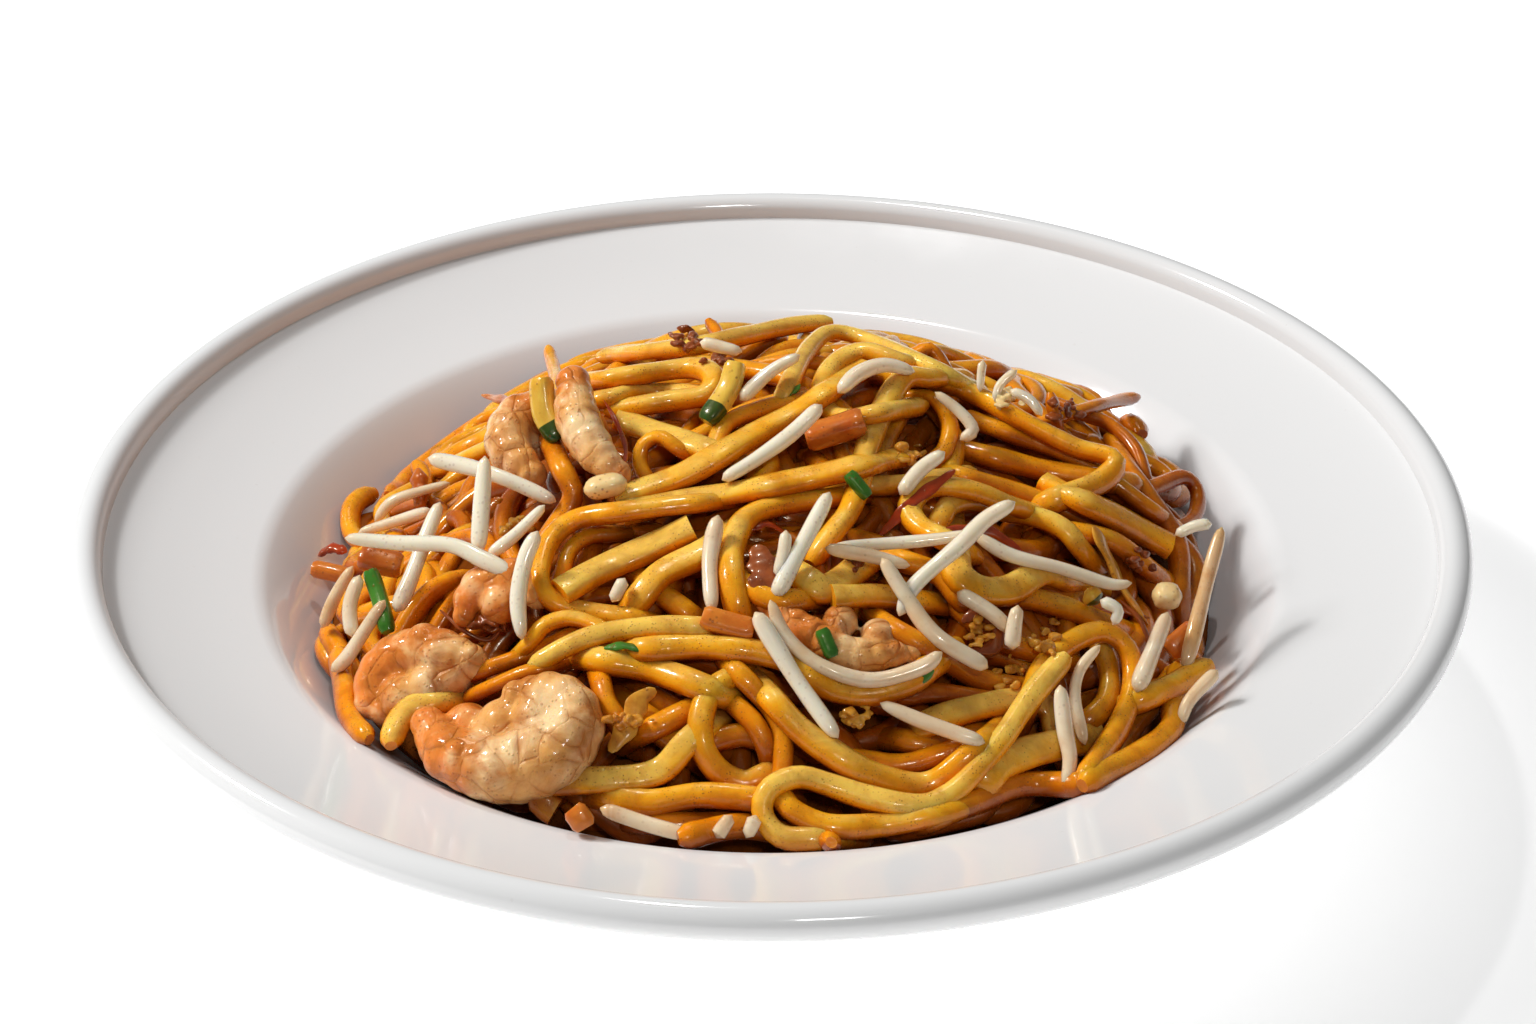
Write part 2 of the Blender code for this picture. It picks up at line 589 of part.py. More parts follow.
def covered_share(surface, plan):
    """Share of a course that runs over noodles or toppings that lie there already."""
    rows = np.clip(np.round(plan[:, 0] + FIELD_HALF).astype(int), 0, 2 * FIELD_HALF)
    columns = np.clip(np.round(plan[:, 1] + FIELD_HALF).astype(int), 0, 2 * FIELD_HALF)
    top = np.maximum(surface.soft, surface.hard)[rows, columns]
    bare = np.maximum(core_height(plan[:, 0], plan[:, 1]), dish_height(plan[:, 0], plan[:, 1]) + DISH_GAP)
    return np.mean(top > bare + 0.3)


def fill_noodles(surface, gathered):
    """Noodles of the rest of the heap: loose courses from one seed, laid where the core is still bare."""
    draw = random.Random(FILL_SEED)
    laid = 0
    for _ in range(FILL_TRIES):
        out = FILL_REACH * math.sqrt(draw.random())
        angle = draw.uniform(0, 2 * math.pi)
        plan = wandering_route(draw, (out * math.cos(angle), out * math.sin(angle)))
        if covered_share(surface, plan) > FILL_OVERLAP or laid == FILL_NOODLES:
            continue
        laid += 1
        radius = draw.uniform(*FILL_WIDTH) / 2
        radii = np.full(len(plan), radius)
        route = np.column_stack([plan, np.zeros(len(plan))])
        route[:, 2] = surface.lay(route, radii, NOODLE_HEIGHT_RATIO, NOODLE_SINK)
        add_noodle(surface, route, radii, gathered)


def make_noodles(surface):
    """Core and noodles joined into the one solid of the heap."""
    gathered = []
    for width, pixels in NOODLE_ROUTES:
        widths = [width / 2, width / 2]
        route, radii = lay_seen_piece(surface, pixels, widths, NOODLE_HEIGHT_RATIO, NOODLE_SINK)
        add_noodle(surface, route, radii, gathered)
    fill_noodles(surface, gathered)
    core_mesh = turned_mesh("noodles", core_section(), CORE_STEPS, core_unevenness)
    core = build_object("noodles", core_mesh, "noodles")
    strands = bpy.data.collections.new("strands")
    bpy.context.scene.collection.children.link(strands)
    for data in gathered:
        strands.objects.link(bpy.data.objects.new(data.name, data))
    union = core.modifiers.new("union", "BOOLEAN")
    union.operation = "UNION"
    union.operand_type = "COLLECTION"
    union.collection = strands
    union.solver = "EXACT"
    bpy.context.view_layer.update()
    depsgraph = bpy.context.evaluated_depsgraph_get()
    joined = bpy.data.meshes.new_from_object(core.evaluated_get(depsgraph))
    core.modifiers.clear()
    core.data = joined
    for strand in list(strands.objects):
        bpy.data.objects.remove(strand)
    bpy.data.collections.remove(strands)
    keep_largest_body(joined)


def keep_largest_body(data):
    """Drop loose scraps and the walls of sealed hollows, so that one closed body is left."""
    mesh = bmesh.new()
    mesh.from_mesh(data)
    bmesh.ops.remove_doubles(mesh, verts=mesh.verts[:], dist=0.000002)
    bmesh.ops.triangulate(mesh, faces=mesh.faces[:])
    unseen = set(mesh.verts)
    bodies = []
    while unseen:
        queue = [unseen.pop()]
        body = []
        while queue:
            corner = queue.pop()
            body.append(corner)
            for edge in corner.link_edges:
                other = edge.other_vert(corner)
                if other in unseen:
                    unseen.remove(other)
                    queue.append(other)
        bodies.append(body)
    bodies.sort(key=len, reverse=True)
    for body in bodies[1:]:
        bmesh.ops.delete(mesh, geom=body, context="VERTS")
    mesh.to_mesh(data)
    mesh.free()


def clear_scene():
    for item in list(bpy.data.objects):
        bpy.data.objects.remove(item)


def main():
    clear_scene()
    surface = Surface()
    make_plate()
    make_prawns(surface)
    make_cut_pieces(surface)
    make_sprouts(surface)
    make_noodles(surface)


main()
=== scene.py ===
import math
import random

import bpy
import numpy as np
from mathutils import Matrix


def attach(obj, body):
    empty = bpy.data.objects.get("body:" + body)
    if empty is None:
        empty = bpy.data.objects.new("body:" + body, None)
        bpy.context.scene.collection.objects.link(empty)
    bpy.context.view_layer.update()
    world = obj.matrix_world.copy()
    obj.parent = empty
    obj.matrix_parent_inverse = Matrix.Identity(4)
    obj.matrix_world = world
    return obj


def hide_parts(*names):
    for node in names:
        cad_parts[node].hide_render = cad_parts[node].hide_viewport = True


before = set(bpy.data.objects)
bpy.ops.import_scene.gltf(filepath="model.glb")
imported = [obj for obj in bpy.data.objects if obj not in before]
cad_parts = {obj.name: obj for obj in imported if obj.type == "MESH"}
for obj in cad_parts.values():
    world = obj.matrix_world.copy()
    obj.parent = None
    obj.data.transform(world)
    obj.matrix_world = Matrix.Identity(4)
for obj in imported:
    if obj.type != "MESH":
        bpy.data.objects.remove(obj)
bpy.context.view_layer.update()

# Looks of a plate of pad thai. Sizes are in millimetres until MM turns them into metres. Places of pieces
# are pixels of a 1536 by 1024 photograph, which sight lines carry onto the heap.
MM = 0.001
BODY = "root"

# Sight lines of the photograph
PHOTO_WIDTH = 1536
PHOTO_HEIGHT = 1024
VIEW_ELEVATION = math.radians(30.77)
VIEW_DISTANCE = 609.4
VIEW_TARGET_HEIGHT = 46.0
VIEW_FOCAL_PIXELS = 3000.0
VIEW_CENTRE_PIXEL = (770.4, 495.2)
SENSOR_WIDTH = 36.0
CLIP_START = 0.01
# Places along a sight line that are tried for what it meets
TRIED_REACHES = np.arange(VIEW_DISTANCE - 150, VIEW_DISTANCE + 190, 0.25)

# Plate, as in the frame
PLATE_RADIUS = 140.0
LIP_RADIUS = 3.3
LIP_HEIGHT = 46.0
RIM_INNER_RADIUS = 103.6
RIM_INNER_HEIGHT = 34.6
RIM_DIP = 0.7
WELL_FLOOR_RADIUS = 66.0
WELL_FLOOR_HEIGHT = 8.0
PLATE_STEPS = 192
PLATE_SMOOTH_ANGLE = math.radians(40)
# Shares of the well's wall and of the rim at which their sections have a corner
WALL_SHARES = (0.1, 0.2, 0.3, 0.38, 0.46, 0.55, 0.62, 0.7, 0.76, 0.82, 0.87, 0.92, 0.96, 1.0)
RIM_SHARES = (0.06, 0.12, 0.25, 0.38, 0.5, 0.63, 0.75, 0.88, 1.0)
WALL_FLARE = 0.35
# Share of the lip's radius by which the rim meets it below its middle, and the lip's corners in degrees
LIP_DROP = 0.45
LIP_CORNERS = range(165, -80, -15)
# Radius and height of the underside's corners, from the rim inwards and round the foot ring
UNDERSIDE = (
    (125.6, 38.115), (106.6, 30.6), (95.6, 22.5), (84.6, 8.5), (77.5, 3.8), (75.6, 1.0), (74.4, 0.0),
    (70.6, 0.0), (69.4, 1.0), (68.0, 4.2), (12.0, 4.2))

# Heap, as in the frame
MOUND_RADIUS = 97.0
MOUND_EDGE_HEIGHT = 29.4
MOUND_RISE = 41.0
SHOULDER_SPREAD = 24.0
# Place in plan and rise of a swelling and a hollow in the mound
RIGHT_SHOULDER = (80.0, 38.0, 4.0)
LEFT_HOLLOW = (-70.0, 40.0, -9.0)
# How deep the frame's core lies under the mound, and how far its toppings stand off it
FRAME_CORE_DEPTH = 2.5
FRAME_CORE_GAP = 0.5
# Core of the looks: depth under the mound, form, gap over the dish, and the gentle waves of its top
CORE_DEPTH = 11.0
CORE_RADIUS = 90.0
CORE_SEGMENTS = 96
CORE_GAP = 0.3
CORE_THINNEST = 0.4
CORE_EDGE = 0.5
CORE_RIPPLE = 0.8
CORE_RIPPLE_TURNS = (0.5, 0.45)
DISH_GAP = 0.15

# Painted shade in the heap's crevices, partly sauce pooled there: full depth, and the blur of the heights
# that it is read from
CREVICE_SHADE_DEPTH = 5.0
DEPTH_ROUNDS = 2
DEPTH_SPREAD = 3

# Pieces laid from the camera: pixels between a route's points, neighbours on each side that a route is
# smoothed over while it settles and at the end, and how a route goes on under others where its end is hidden
ROUTE_PIXELS = 4.0
CURVE_STEPS = 24
SETTLING_NEIGHBOURS = 4
SMOOTHING_NEIGHBOURS = 3
DIVE_PIXELS = 42.0
DIVE_RUN = 1.25
DIVE_DEPTH = 9.0

# Strands: flatness and squareness of the cross-sections, shares of the radius at the rounded ends, and the
# waves of their thickness, as height and as turn for each step
ROUND_PROFILE = (0.84, 2.2)
FLAT_PROFILE = (0.62, 3.0)
SPROUT_PROFILE = (0.92, 2.0)
CUT_SQUARENESS = 3.2
STRIP_SQUARENESS = 2.6
PROFILE_SIDES = 12
STRAND_SMOOTH_ANGLE = math.radians(50)
MERGE_DISTANCE = 0.002
SMALLEST_LENGTH = 1e-9
END_ROUNDING = (0.5, 0.9)
FULL_TURN = 6.28
SWELLING = 0.05
SWELLING_TURN = (0.10, 0.25)
RIPPLE = 0.03
RIPPLE_TURN = 0.61

# Noodles that show
NOODLE_STEP = 1.5
SHOWN_REACH = 102.5
ROUND_TWIST = 0.8
FLAT_TWIST = 0.3

# Noodles of the lower layers, from the deepest to the topmost. Those in front of FILL_FRONT lie lower, to
# leave room for the ones that the photograph shows.
FILL_NOODLES = 220
FILL_DEPTH = (9.0, 2.4)
FILL_WAVE = 1.3
FILL_END_DIP = 6.0
FILL_END_RUN = 14.0
FILL_CLEARANCE = 4.2
FILL_LENGTH = (45.0, 105.0)
FILL_WIDTH = (4.0, 5.6)
FILL_TURN = (0.045, 0.10)
FILL_TURN_CHANGE = 0.016
FILL_TURN_BACK = 0.16
FILL_WAVE_TURN = (0.10, 0.22)
FILL_FRONT = 35.0
FILL_FRONT_RUN = 30.0
FILL_EDGE_LIFT = 1.5
FILL_TONE = (0.05, 0.45)
FILL_TOP_TONE = 0.35
FILL_TWIST = 2.0
FILL_SETTLING = 3
FILL_REACH = 84.0
FILL_SEED = 7
FILL_STEP = 2.35

# Noodles along the heap's foot at the back and at the front left: first turns and lengths in degrees, height
# over the mound, distance from the middle, sway, and how far they press in
EDGE_STARTS = (24, 36, 48, 60, 72, 83, 94, 105, 117, 129, 196, 207, 219, 232)
EDGE_SPAN = (16.0, 34.0)
EDGE_FIRST_FRONT = 180
EDGE_RISE = -1.0
EDGE_RISE_FRONT = 4.5
EDGE_REACH = (86.0, 90.0)
EDGE_SWAY = 2.4
EDGE_SWAY_TURN = (5, 11)
EDGE_PRESS = 1.2
EDGE_STEP = 0.65
EDGE_TONE = (0.15, 0.6)
EDGE_SEED = 3

# How each kind of piece is laid: stiffness, how far it presses in, and how far it may stand over the mound
PRAWN_LAYING = {"stiffness": 2, "press": -FRAME_CORE_GAP, "proud": 9.0}
CUT_LAYING = {"stiffness": 30, "press": 0.3, "proud": 5.0}
STRIP_LAYING = {"stiffness": 8, "proud": 5.0}
SPROUT_LAYING = {"stiffness": 40, "press": 0.3, "proud": 6.0}

# Prawns: space between the lumps along the body, how slim they are, and the smaller lumps beside each one
PRAWN_STEP = 3.3
PRAWN_SLIMMING = 0.95
SIDE_LUMPS = 2
SIDE_LUMP_OFFSET = 0.45
SIDE_LUMP_SIZES = (0.58, 0.7)
PRAWN_VOXEL = 0.4
PRAWN_SMOOTHING = 14
SKIN_NEAREST = 0.3
SKIN_FALLOFF = 6

# Cut pieces and soft strips: step along them, the form of their ends, and the place along a courgette baton,
# from -1 to 1, where its green skin starts
FINE_STEP = 0.8
NUT_TIP = 0.05
NUT_POWER = 3
STICK_TAPER = 0.25
STICK_POWER = 12
SKIN_START = 0.42
SKIN_SHARPNESS = 6
STRIP_TIP = 0.04
STRIP_WAVE = 0.16
STRIP_WAVE_TURN = 9
STRIP_TWIST = 1.2
THIN_STRIP = 0.5

# Crumpled bits: how their lumps are spread, placed, sized and stretched, and the dents of their faces
BIT_SPREAD = (0.5, 0.35)
BIT_SINKING = (-0.8, 1.2)
BIT_SIZES = (0.5, 1.0)
BIT_STRETCHES = ((0.5, 1.5), (0.5, 1.5), (0.35, 0.9))
BIT_FLATNESS = 0.6
BIT_VOXEL = 0.28
BIT_DENT = 0.35
BIT_DENT_TURNS = (2.3, 2.7, 2.1)

# Bean sprouts: step, points of a long one, how square long and short ones end, and the waves of thickness
SPROUT_STEP = 0.9
LONG_SPROUT = 25
SPROUT_END_POWERS = (10, 6)
SPROUT_TIP = 0.08
SPROUT_SLIMMING = 0.18
SPROUT_WAVE = 0.04
SPROUT_WAVE_TURN = 0.35

# Sauce film on the plate in front of the heap: turns in degrees, steps, inner radius, width, thickness, the
# shares of the width where it has corners, and its ragged edge as height, turn and start
FILM_TURNS = (256.0, 312.0)
FILM_STEPS = 260
FILM_INNER = 94.0
FILM_WIDTH = 4.2
FILM_NARROWEST = 0.3
FILM_THICKNESS = 0.25
FILM_EDGE_THICKNESS = 0.03
FILM_SHARES = (0.0, 0.25, 0.5, 0.75, 0.95, 1.0)
FILM_RAGGED = ((0.9, 31, 0), (0.7, 67, 1), (0.5, 143, 2))

# Colours as red, green and blue
WARM_GLEAM = (1.0, 0.82, 0.56, 1.0)
FLECK_COLOUR = (0.22, 0.05, 0.004)
NOODLE_TONES = [(0.0, (0.26, 0.028, 0.001)), (0.3, (0.54, 0.120, 0.001)), (0.55, (0.90, 0.280, 0.002)),
                (0.8, (0.99, 0.430, 0.012)), (1.0, (0.99, 0.61, 0.10))]
NOODLE_SAUCE = (0.36, 0.095, 0.004)
# Painted shade in the heap's crevices, partly sauce pooled there
CREVICE_SHADE_COLOUR = (0.31, 0.055, 0.0015)
# Core: dark as painted shade of the heap's depths, with darker sauce blotches
CORE_SHADE_COLOUR = (0.20, 0.048, 0.003)
CORE_SAUCE = (0.09, 0.018, 0.002)
SPROUT_CLEAN = (0.95, 0.84, 0.66)
SPROUT_STAINED = (0.66, 0.38, 0.13)
SPROUT_END = (0.55, 0.30, 0.09)
SPROUT_SAUCE = (0.60, 0.28, 0.08)
PRAWN_FLESH = ((0.95, 0.68, 0.36), (0.84, 0.42, 0.12))
PRAWN_SHELL = ((0.93, 0.34, 0.08), (0.82, 0.20, 0.02))
PRAWN_CREASE = (0.60, 0.20, 0.03)
PRAWN_SAUCE = (0.50, 0.14, 0.012)
TOPPING_SAUCE = (0.30, 0.08, 0.01)
FILM_SAUCE = ((0.42, 0.12, 0.008), (0.20, 0.04, 0.003))
GLAZE = ((0.81, 0.81, 0.805), (0.84, 0.84, 0.837))
GLAZE_SPECK = (0.55, 0.50, 0.45)
FLOOR_TONES = ((0.90, 0.90, 0.90), (0.93, 0.93, 0.93))

# Finishes of the toppings: material, light and dark tone, sauce stain, subsurface, mottle, colour of skin
TOPPING_FINISHES = {
    "courgette": ("courgette_flesh", (0.90, 0.62, 0.10), (0.78, 0.44, 0.04), 0.3, 0.4, 120.0,
                  (0.010, 0.075, 0.008)),
    "scallion": ("scallion_leaf", (0.05, 0.22, 0.02), (0.02, 0.12, 0.01), 0.05, 0.1, 150.0, None),
    "carrot": ("sauced_carrot", (0.78, 0.25, 0.025), (0.50, 0.09, 0.008), 0.4, 0.4, 90.0, None),
    "peanut": ("nut_flesh", (0.94, 0.72, 0.36), (0.86, 0.56, 0.22), 0.2, 0.3, 120.0, None),
    "crisp": ("fried_onion", (0.34, 0.075, 0.015), (0.15, 0.028, 0.012), 0.5, 0.1, 260.0, None),
    "egg": ("fried_egg", (0.86, 0.44, 0.05), (0.58, 0.20, 0.012), 0.5, 0.2, 200.0, None),
    "pepper": ("cooked_pepper", (0.55, 0.055, 0.006), (0.26, 0.022, 0.004), 0.3, 0.3, 130.0, None),
}

# Floor, daylight all round, and lights: name, place, width and length, power, and whether they are mirrored
FLOOR_SIZE = 12.0
FLOOR_HEIGHT = -0.0002
FLOOR_GLOW = 0.5
DAYLIGHT = 0.11
LIGHT_TARGET = np.array([0.0, 0.0, 0.05])
LIGHTS = [
    ("window", (-1.02, 0.18, 1.01), (0.70, 0.55), 13.6, False),
    ("pane", (-0.94, 0.30, 1.04), (0.20, 0.14), 7.2, True),
    ("front", (0.15, -0.95, 0.90), (0.15, 0.11), 2.1, True),
    ("lamp", (-0.09, 0.42, 0.95), (0.05, 0.03), 1.4, True),
]

# Height fields, one value for each square millimetre cell
FIELD_HALF = 112
FIELD_END = 2 * FIELD_HALF - 1.001
FIELD_AXIS = np.arange(-FIELD_HALF, FIELD_HALF + 1, dtype=float)
FIELD_X, FIELD_Y = np.meshgrid(FIELD_AXIS, FIELD_AXIS, indexing="ij")
FIELD_LOW = -50.0


def plate_wall_inside():
    """Half section of the plate's upper side, from the middle out to where the lip starts."""
    points = [(0.0, WELL_FLOOR_HEIGHT), (WELL_FLOOR_RADIUS, WELL_FLOOR_HEIGHT)]
    run = RIM_INNER_RADIUS - WELL_FLOOR_RADIUS
    rise = RIM_INNER_HEIGHT - WELL_FLOOR_HEIGHT
    for part in WALL_SHARES:
        curve = part ** 2 * (1 + WALL_FLARE - WALL_FLARE * part ** 3)
        points.append((WELL_FLOOR_RADIUS + run * part, WELL_FLOOR_HEIGHT + rise * curve))
    rim_end = PLATE_RADIUS - 2 * LIP_RADIUS
    rim_end_height = LIP_HEIGHT - LIP_RADIUS * LIP_DROP
    for part in RIM_SHARES:
        radius = RIM_INNER_RADIUS + (rim_end - RIM_INNER_RADIUS) * part
        height = RIM_INNER_HEIGHT + (rim_end_height - RIM_INNER_HEIGHT) * part
        points.append((radius, height - RIM_DIP * math.sin(math.pi * part)))
    return points


def plate_section():
    """Whole half section: up the inside, round the rolled lip, back under the rim and round the foot."""
    points = plate_wall_inside()
    lip_centre = PLATE_RADIUS - LIP_RADIUS
    for degrees in LIP_CORNERS:
        angle = math.radians(degrees)
        points.append((lip_centre + LIP_RADIUS * math.cos(angle), LIP_HEIGHT + LIP_RADIUS * math.sin(angle)))
    return points + list(UNDERSIDE)


DISH_LINE = np.array(plate_wall_inside())


def dish_height(x, y):
    """Height of the plate's upper side above the point (x, y)."""
    return np.interp(np.hypot(x, y), DISH_LINE[:, 0], DISH_LINE[:, 1])


def mound_height(x, y):
    """Mean height of the noodles that show."""
    height = MOUND_EDGE_HEIGHT + MOUND_RISE * (1 - (x * x + y * y) / MOUND_RADIUS ** 2)
    for middle_x, middle_y, swell in (RIGHT_SHOULDER, LEFT_HOLLOW):
        away = (x - middle_x) ** 2 + (y - middle_y) ** 2
        height = height + swell * np.exp(-away / (2 * SHOULDER_SPREAD ** 2))
    return height


def mound_normal(x, y):
    """Direction that the mound's side faces."""
    step = 1.0
    slope_x = (mound_height(x + step, y) - mound_height(x - step, y)) / (2 * step)
    slope_y = (mound_height(x, y + step) - mound_height(x, y - step)) / (2 * step)
    normal = np.stack([-slope_x, -slope_y, np.ones_like(slope_x)], axis=-1)
    return normal / np.linalg.norm(normal, axis=-1, keepdims=True)


def view_axes():
    """Directions to the right, up and ahead of the camera."""
    right = np.array([1.0, 0.0, 0.0])
    up = np.array([0.0, math.sin(VIEW_ELEVATION), math.cos(VIEW_ELEVATION)])
    ahead = np.array([0.0, math.cos(VIEW_ELEVATION), -math.sin(VIEW_ELEVATION)])
    return right, up, ahead


def sight_line(pixel):
    """Start and direction of the sight line through one pixel of the photograph."""
    right, up, ahead = view_axes()
    start = np.array([0.0, 0.0, VIEW_TARGET_HEIGHT]) - ahead * VIEW_DISTANCE
    across = (pixel[0] - VIEW_CENTRE_PIXEL[0]) / VIEW_FOCAL_PIXELS
    down = (pixel[1] - VIEW_CENTRE_PIXEL[1]) / VIEW_FOCAL_PIXELS
    return start, ahead + right * across - up * down


def sight_points(pixels, reaches):
    """Points of the pixels' sight lines, each at its own reach."""
    lines = [sight_line(pixel) for pixel in pixels]
    starts = np.array([line[0] for line in lines])
    directions = np.array([line[1] for line in lines])
    return starts + directions * np.asarray(reaches)[:, None]


def field_value(field, x, y):
    """Value of a height field between its cells."""
    across = np.clip(x + FIELD_HALF, 0, FIELD_END)
    upward = np.clip(y + FIELD_HALF, 0, FIELD_END)
    column = across.astype(int)
    row = upward.astype(int)
    part = across - column
    rest = upward - row
    near = field[column, row] * (1 - rest) + field[column, row + 1] * rest
    far = field[column + 1, row] * (1 - rest) + field[column + 1, row + 1] * rest
    return near * (1 - part) + far * part


def meeting_reach(field, pixels):
    """How far along their sight lines the pixels first meet a height field, or pass it most closely."""
    meetings = []
    for pixel in pixels:
        start, direction = sight_line(pixel)
        line = start + direction * TRIED_REACHES[:, None]
        over = line[:, 2] - field_value(field, line[:, 0], line[:, 1])
        under = np.flatnonzero(over < 0)
        meetings.append(TRIED_REACHES[under[0] if len(under) else np.argmin(over)])
    return np.array(meetings)


def smooth_route(corners, spacing):
    """Catmull-Rom curve through the corners, with points about one spacing apart."""
    corners = np.array(corners, dtype=float)
    ends = np.vstack([2 * corners[0] - corners[1], corners, 2 * corners[-1] - corners[-2]])
    pieces = []
    for index in range(len(corners) - 1):
        before, first, second, after = ends[index:index + 4]
        t = np.linspace(0, 1, CURVE_STEPS, endpoint=False)[:, None]
        bend = 2 * before - 5 * first + 4 * second - after
        twist = -before + 3 * first - 3 * second + after
        pieces.append(0.5 * (2 * first + (second - before) * t + bend * t ** 2 + twist * t ** 3))
    dense = np.vstack(pieces + [corners[-1:]])
    return read_evenly(dense, spacing)


def read_evenly(route, spacing):
    """The same route with points about one spacing apart."""
    lengths = np.concatenate([[0], np.cumsum(np.linalg.norm(np.diff(route, axis=0), axis=1))])
    count = max(3, int(round(lengths[-1] / spacing)) + 1)
    wanted = np.linspace(0, lengths[-1], count)
    return np.stack([np.interp(wanted, lengths, route[:, axis]) for axis in range(route.shape[1])], axis=1)


def run_mean(values, reach):
    """Mean over a few neighbours along a route."""
    padded = np.pad(values, reach, mode="edge")
    kernel = np.ones(2 * reach + 1) / (2 * reach + 1)
    return np.convolve(padded, kernel, mode="valid")


class Surface:
    """Heights of what lies there already, for laying the next piece on it."""

    def __init__(self, depth):
        core = mound_height(FIELD_X, FIELD_Y) - depth
        self.top = np.maximum(core, dish_height(FIELD_X, FIELD_Y) + DISH_GAP)

    def swelled(self, radius, flat):
        """Heights at which the middle of a round piece of this radius would lie on what is there."""
        reach = int(math.ceil(radius))
        swelled = self.top + radius * flat
        for across in range(-reach, reach + 1):
            for upward in range(-reach, reach + 1):
                away = math.hypot(across, upward)
                if 0 < away < radius:
                    crown = math.sqrt(radius ** 2 - away ** 2) * flat
                    moved = np.roll(np.roll(self.top, across, 0), upward, 1)
                    swelled = np.maximum(swelled, moved + crown)
        return swelled

    def mark(self, route, radii, flat):
        """Raise the heights to the top of a piece that now lies there."""
        for point, radius in zip(route, radii):
            cell = point[:2] + FIELD_HALF
            low = np.clip(np.floor(cell - radius).astype(int), 0, 2 * FIELD_HALF)
            high = np.clip(np.ceil(cell + radius).astype(int) + 1, low + 1, 2 * FIELD_HALF + 1)
            place = (slice(low[0], high[0]), slice(low[1], high[1]))
            away = (FIELD_X[place] - point[0]) ** 2 + (FIELD_Y[place] - point[1]) ** 2
            crown = np.sqrt(np.maximum(radius ** 2 - away, 0)) * flat
            top = np.where(away < radius ** 2, point[2] + crown, FIELD_LOW)
            self.top[place] = np.maximum(self.top[place], top)


def run_on(pixels, at_start, at_end):
    """The pixels of a piece, run on straight past the ends that lie hidden under others."""
    pixels = np.array(pixels, dtype=float)
    if at_start:
        step = pixels[0] - pixels[1]
        pixels = np.vstack([pixels[0] + step * DIVE_PIXELS / np.linalg.norm(step), pixels])
    if at_end:
        step = pixels[-1] - pixels[-2]
        pixels = np.vstack([pixels, pixels[-1] + step * DIVE_PIXELS / np.linalg.norm(step)])
    return pixels


def dive(count, spacing, at_start, at_end):
    """How much deeper each point of a route lies where the route runs on under others."""
    away = np.arange(count) * spacing
    deeper = np.zeros(count)
    for wanted, distance in ((at_start, away), (at_end, away[::-1])):
        if wanted:
            share = np.clip(1 - distance / (DIVE_PIXELS * DIVE_RUN), 0, 1)
            deeper = np.maximum(deeper, DIVE_DEPTH * share ** 2 * (3 - 2 * share))
    return deeper


def lay_seen_piece(surface, pixels, radii, flat, stiffness=12, press=0.6, leaning=1.0, proud=4.2,
                   hidden=(False, False)):
    """Route of a piece seen at these pixels, in front of all that lies there, and its radius along it.

    Press lets it sink in a little, and proud is how far its middle may stand over the mound. Leaning is the
    share of the heap's depth that it follows: 1 lies down, and a stiff piece with a small share stands up.
    """
    fine_pixels = smooth_route(run_on(pixels, *hidden), ROUTE_PIXELS)
    along = np.linspace(0, 1, len(fine_pixels))
    fine_radii = np.interp(along, np.linspace(0, 1, len(radii)), radii)
    contact = meeting_reach(surface.swelled(max(radii), flat), fine_pixels) + press
    dish = dish_height(FIELD_X, FIELD_Y)
    shell = np.maximum(mound_height(FIELD_X, FIELD_Y) + proud, dish + min(radii) * flat)
    contact = np.maximum(contact, meeting_reach(shell, fine_pixels))
    reach = contact.copy()
    for _ in range(stiffness):
        reach = np.minimum(contact, run_mean(reach, SETTLING_NEIGHBOURS))
    reach = run_mean(run_mean(reach, SMOOTHING_NEIGHBOURS), SMOOTHING_NEIGHBOURS)
    if leaning < 1.0:
        reach = reach.min() + leaning * (reach - reach.min())
    if any(hidden):
        lowest = meeting_reach(dish + max(radii) * flat, fine_pixels)
        reach = np.maximum(reach, np.minimum(reach + dive(len(reach), ROUTE_PIXELS, *hidden), lowest))
    return sight_points(fine_pixels, reach), fine_radii


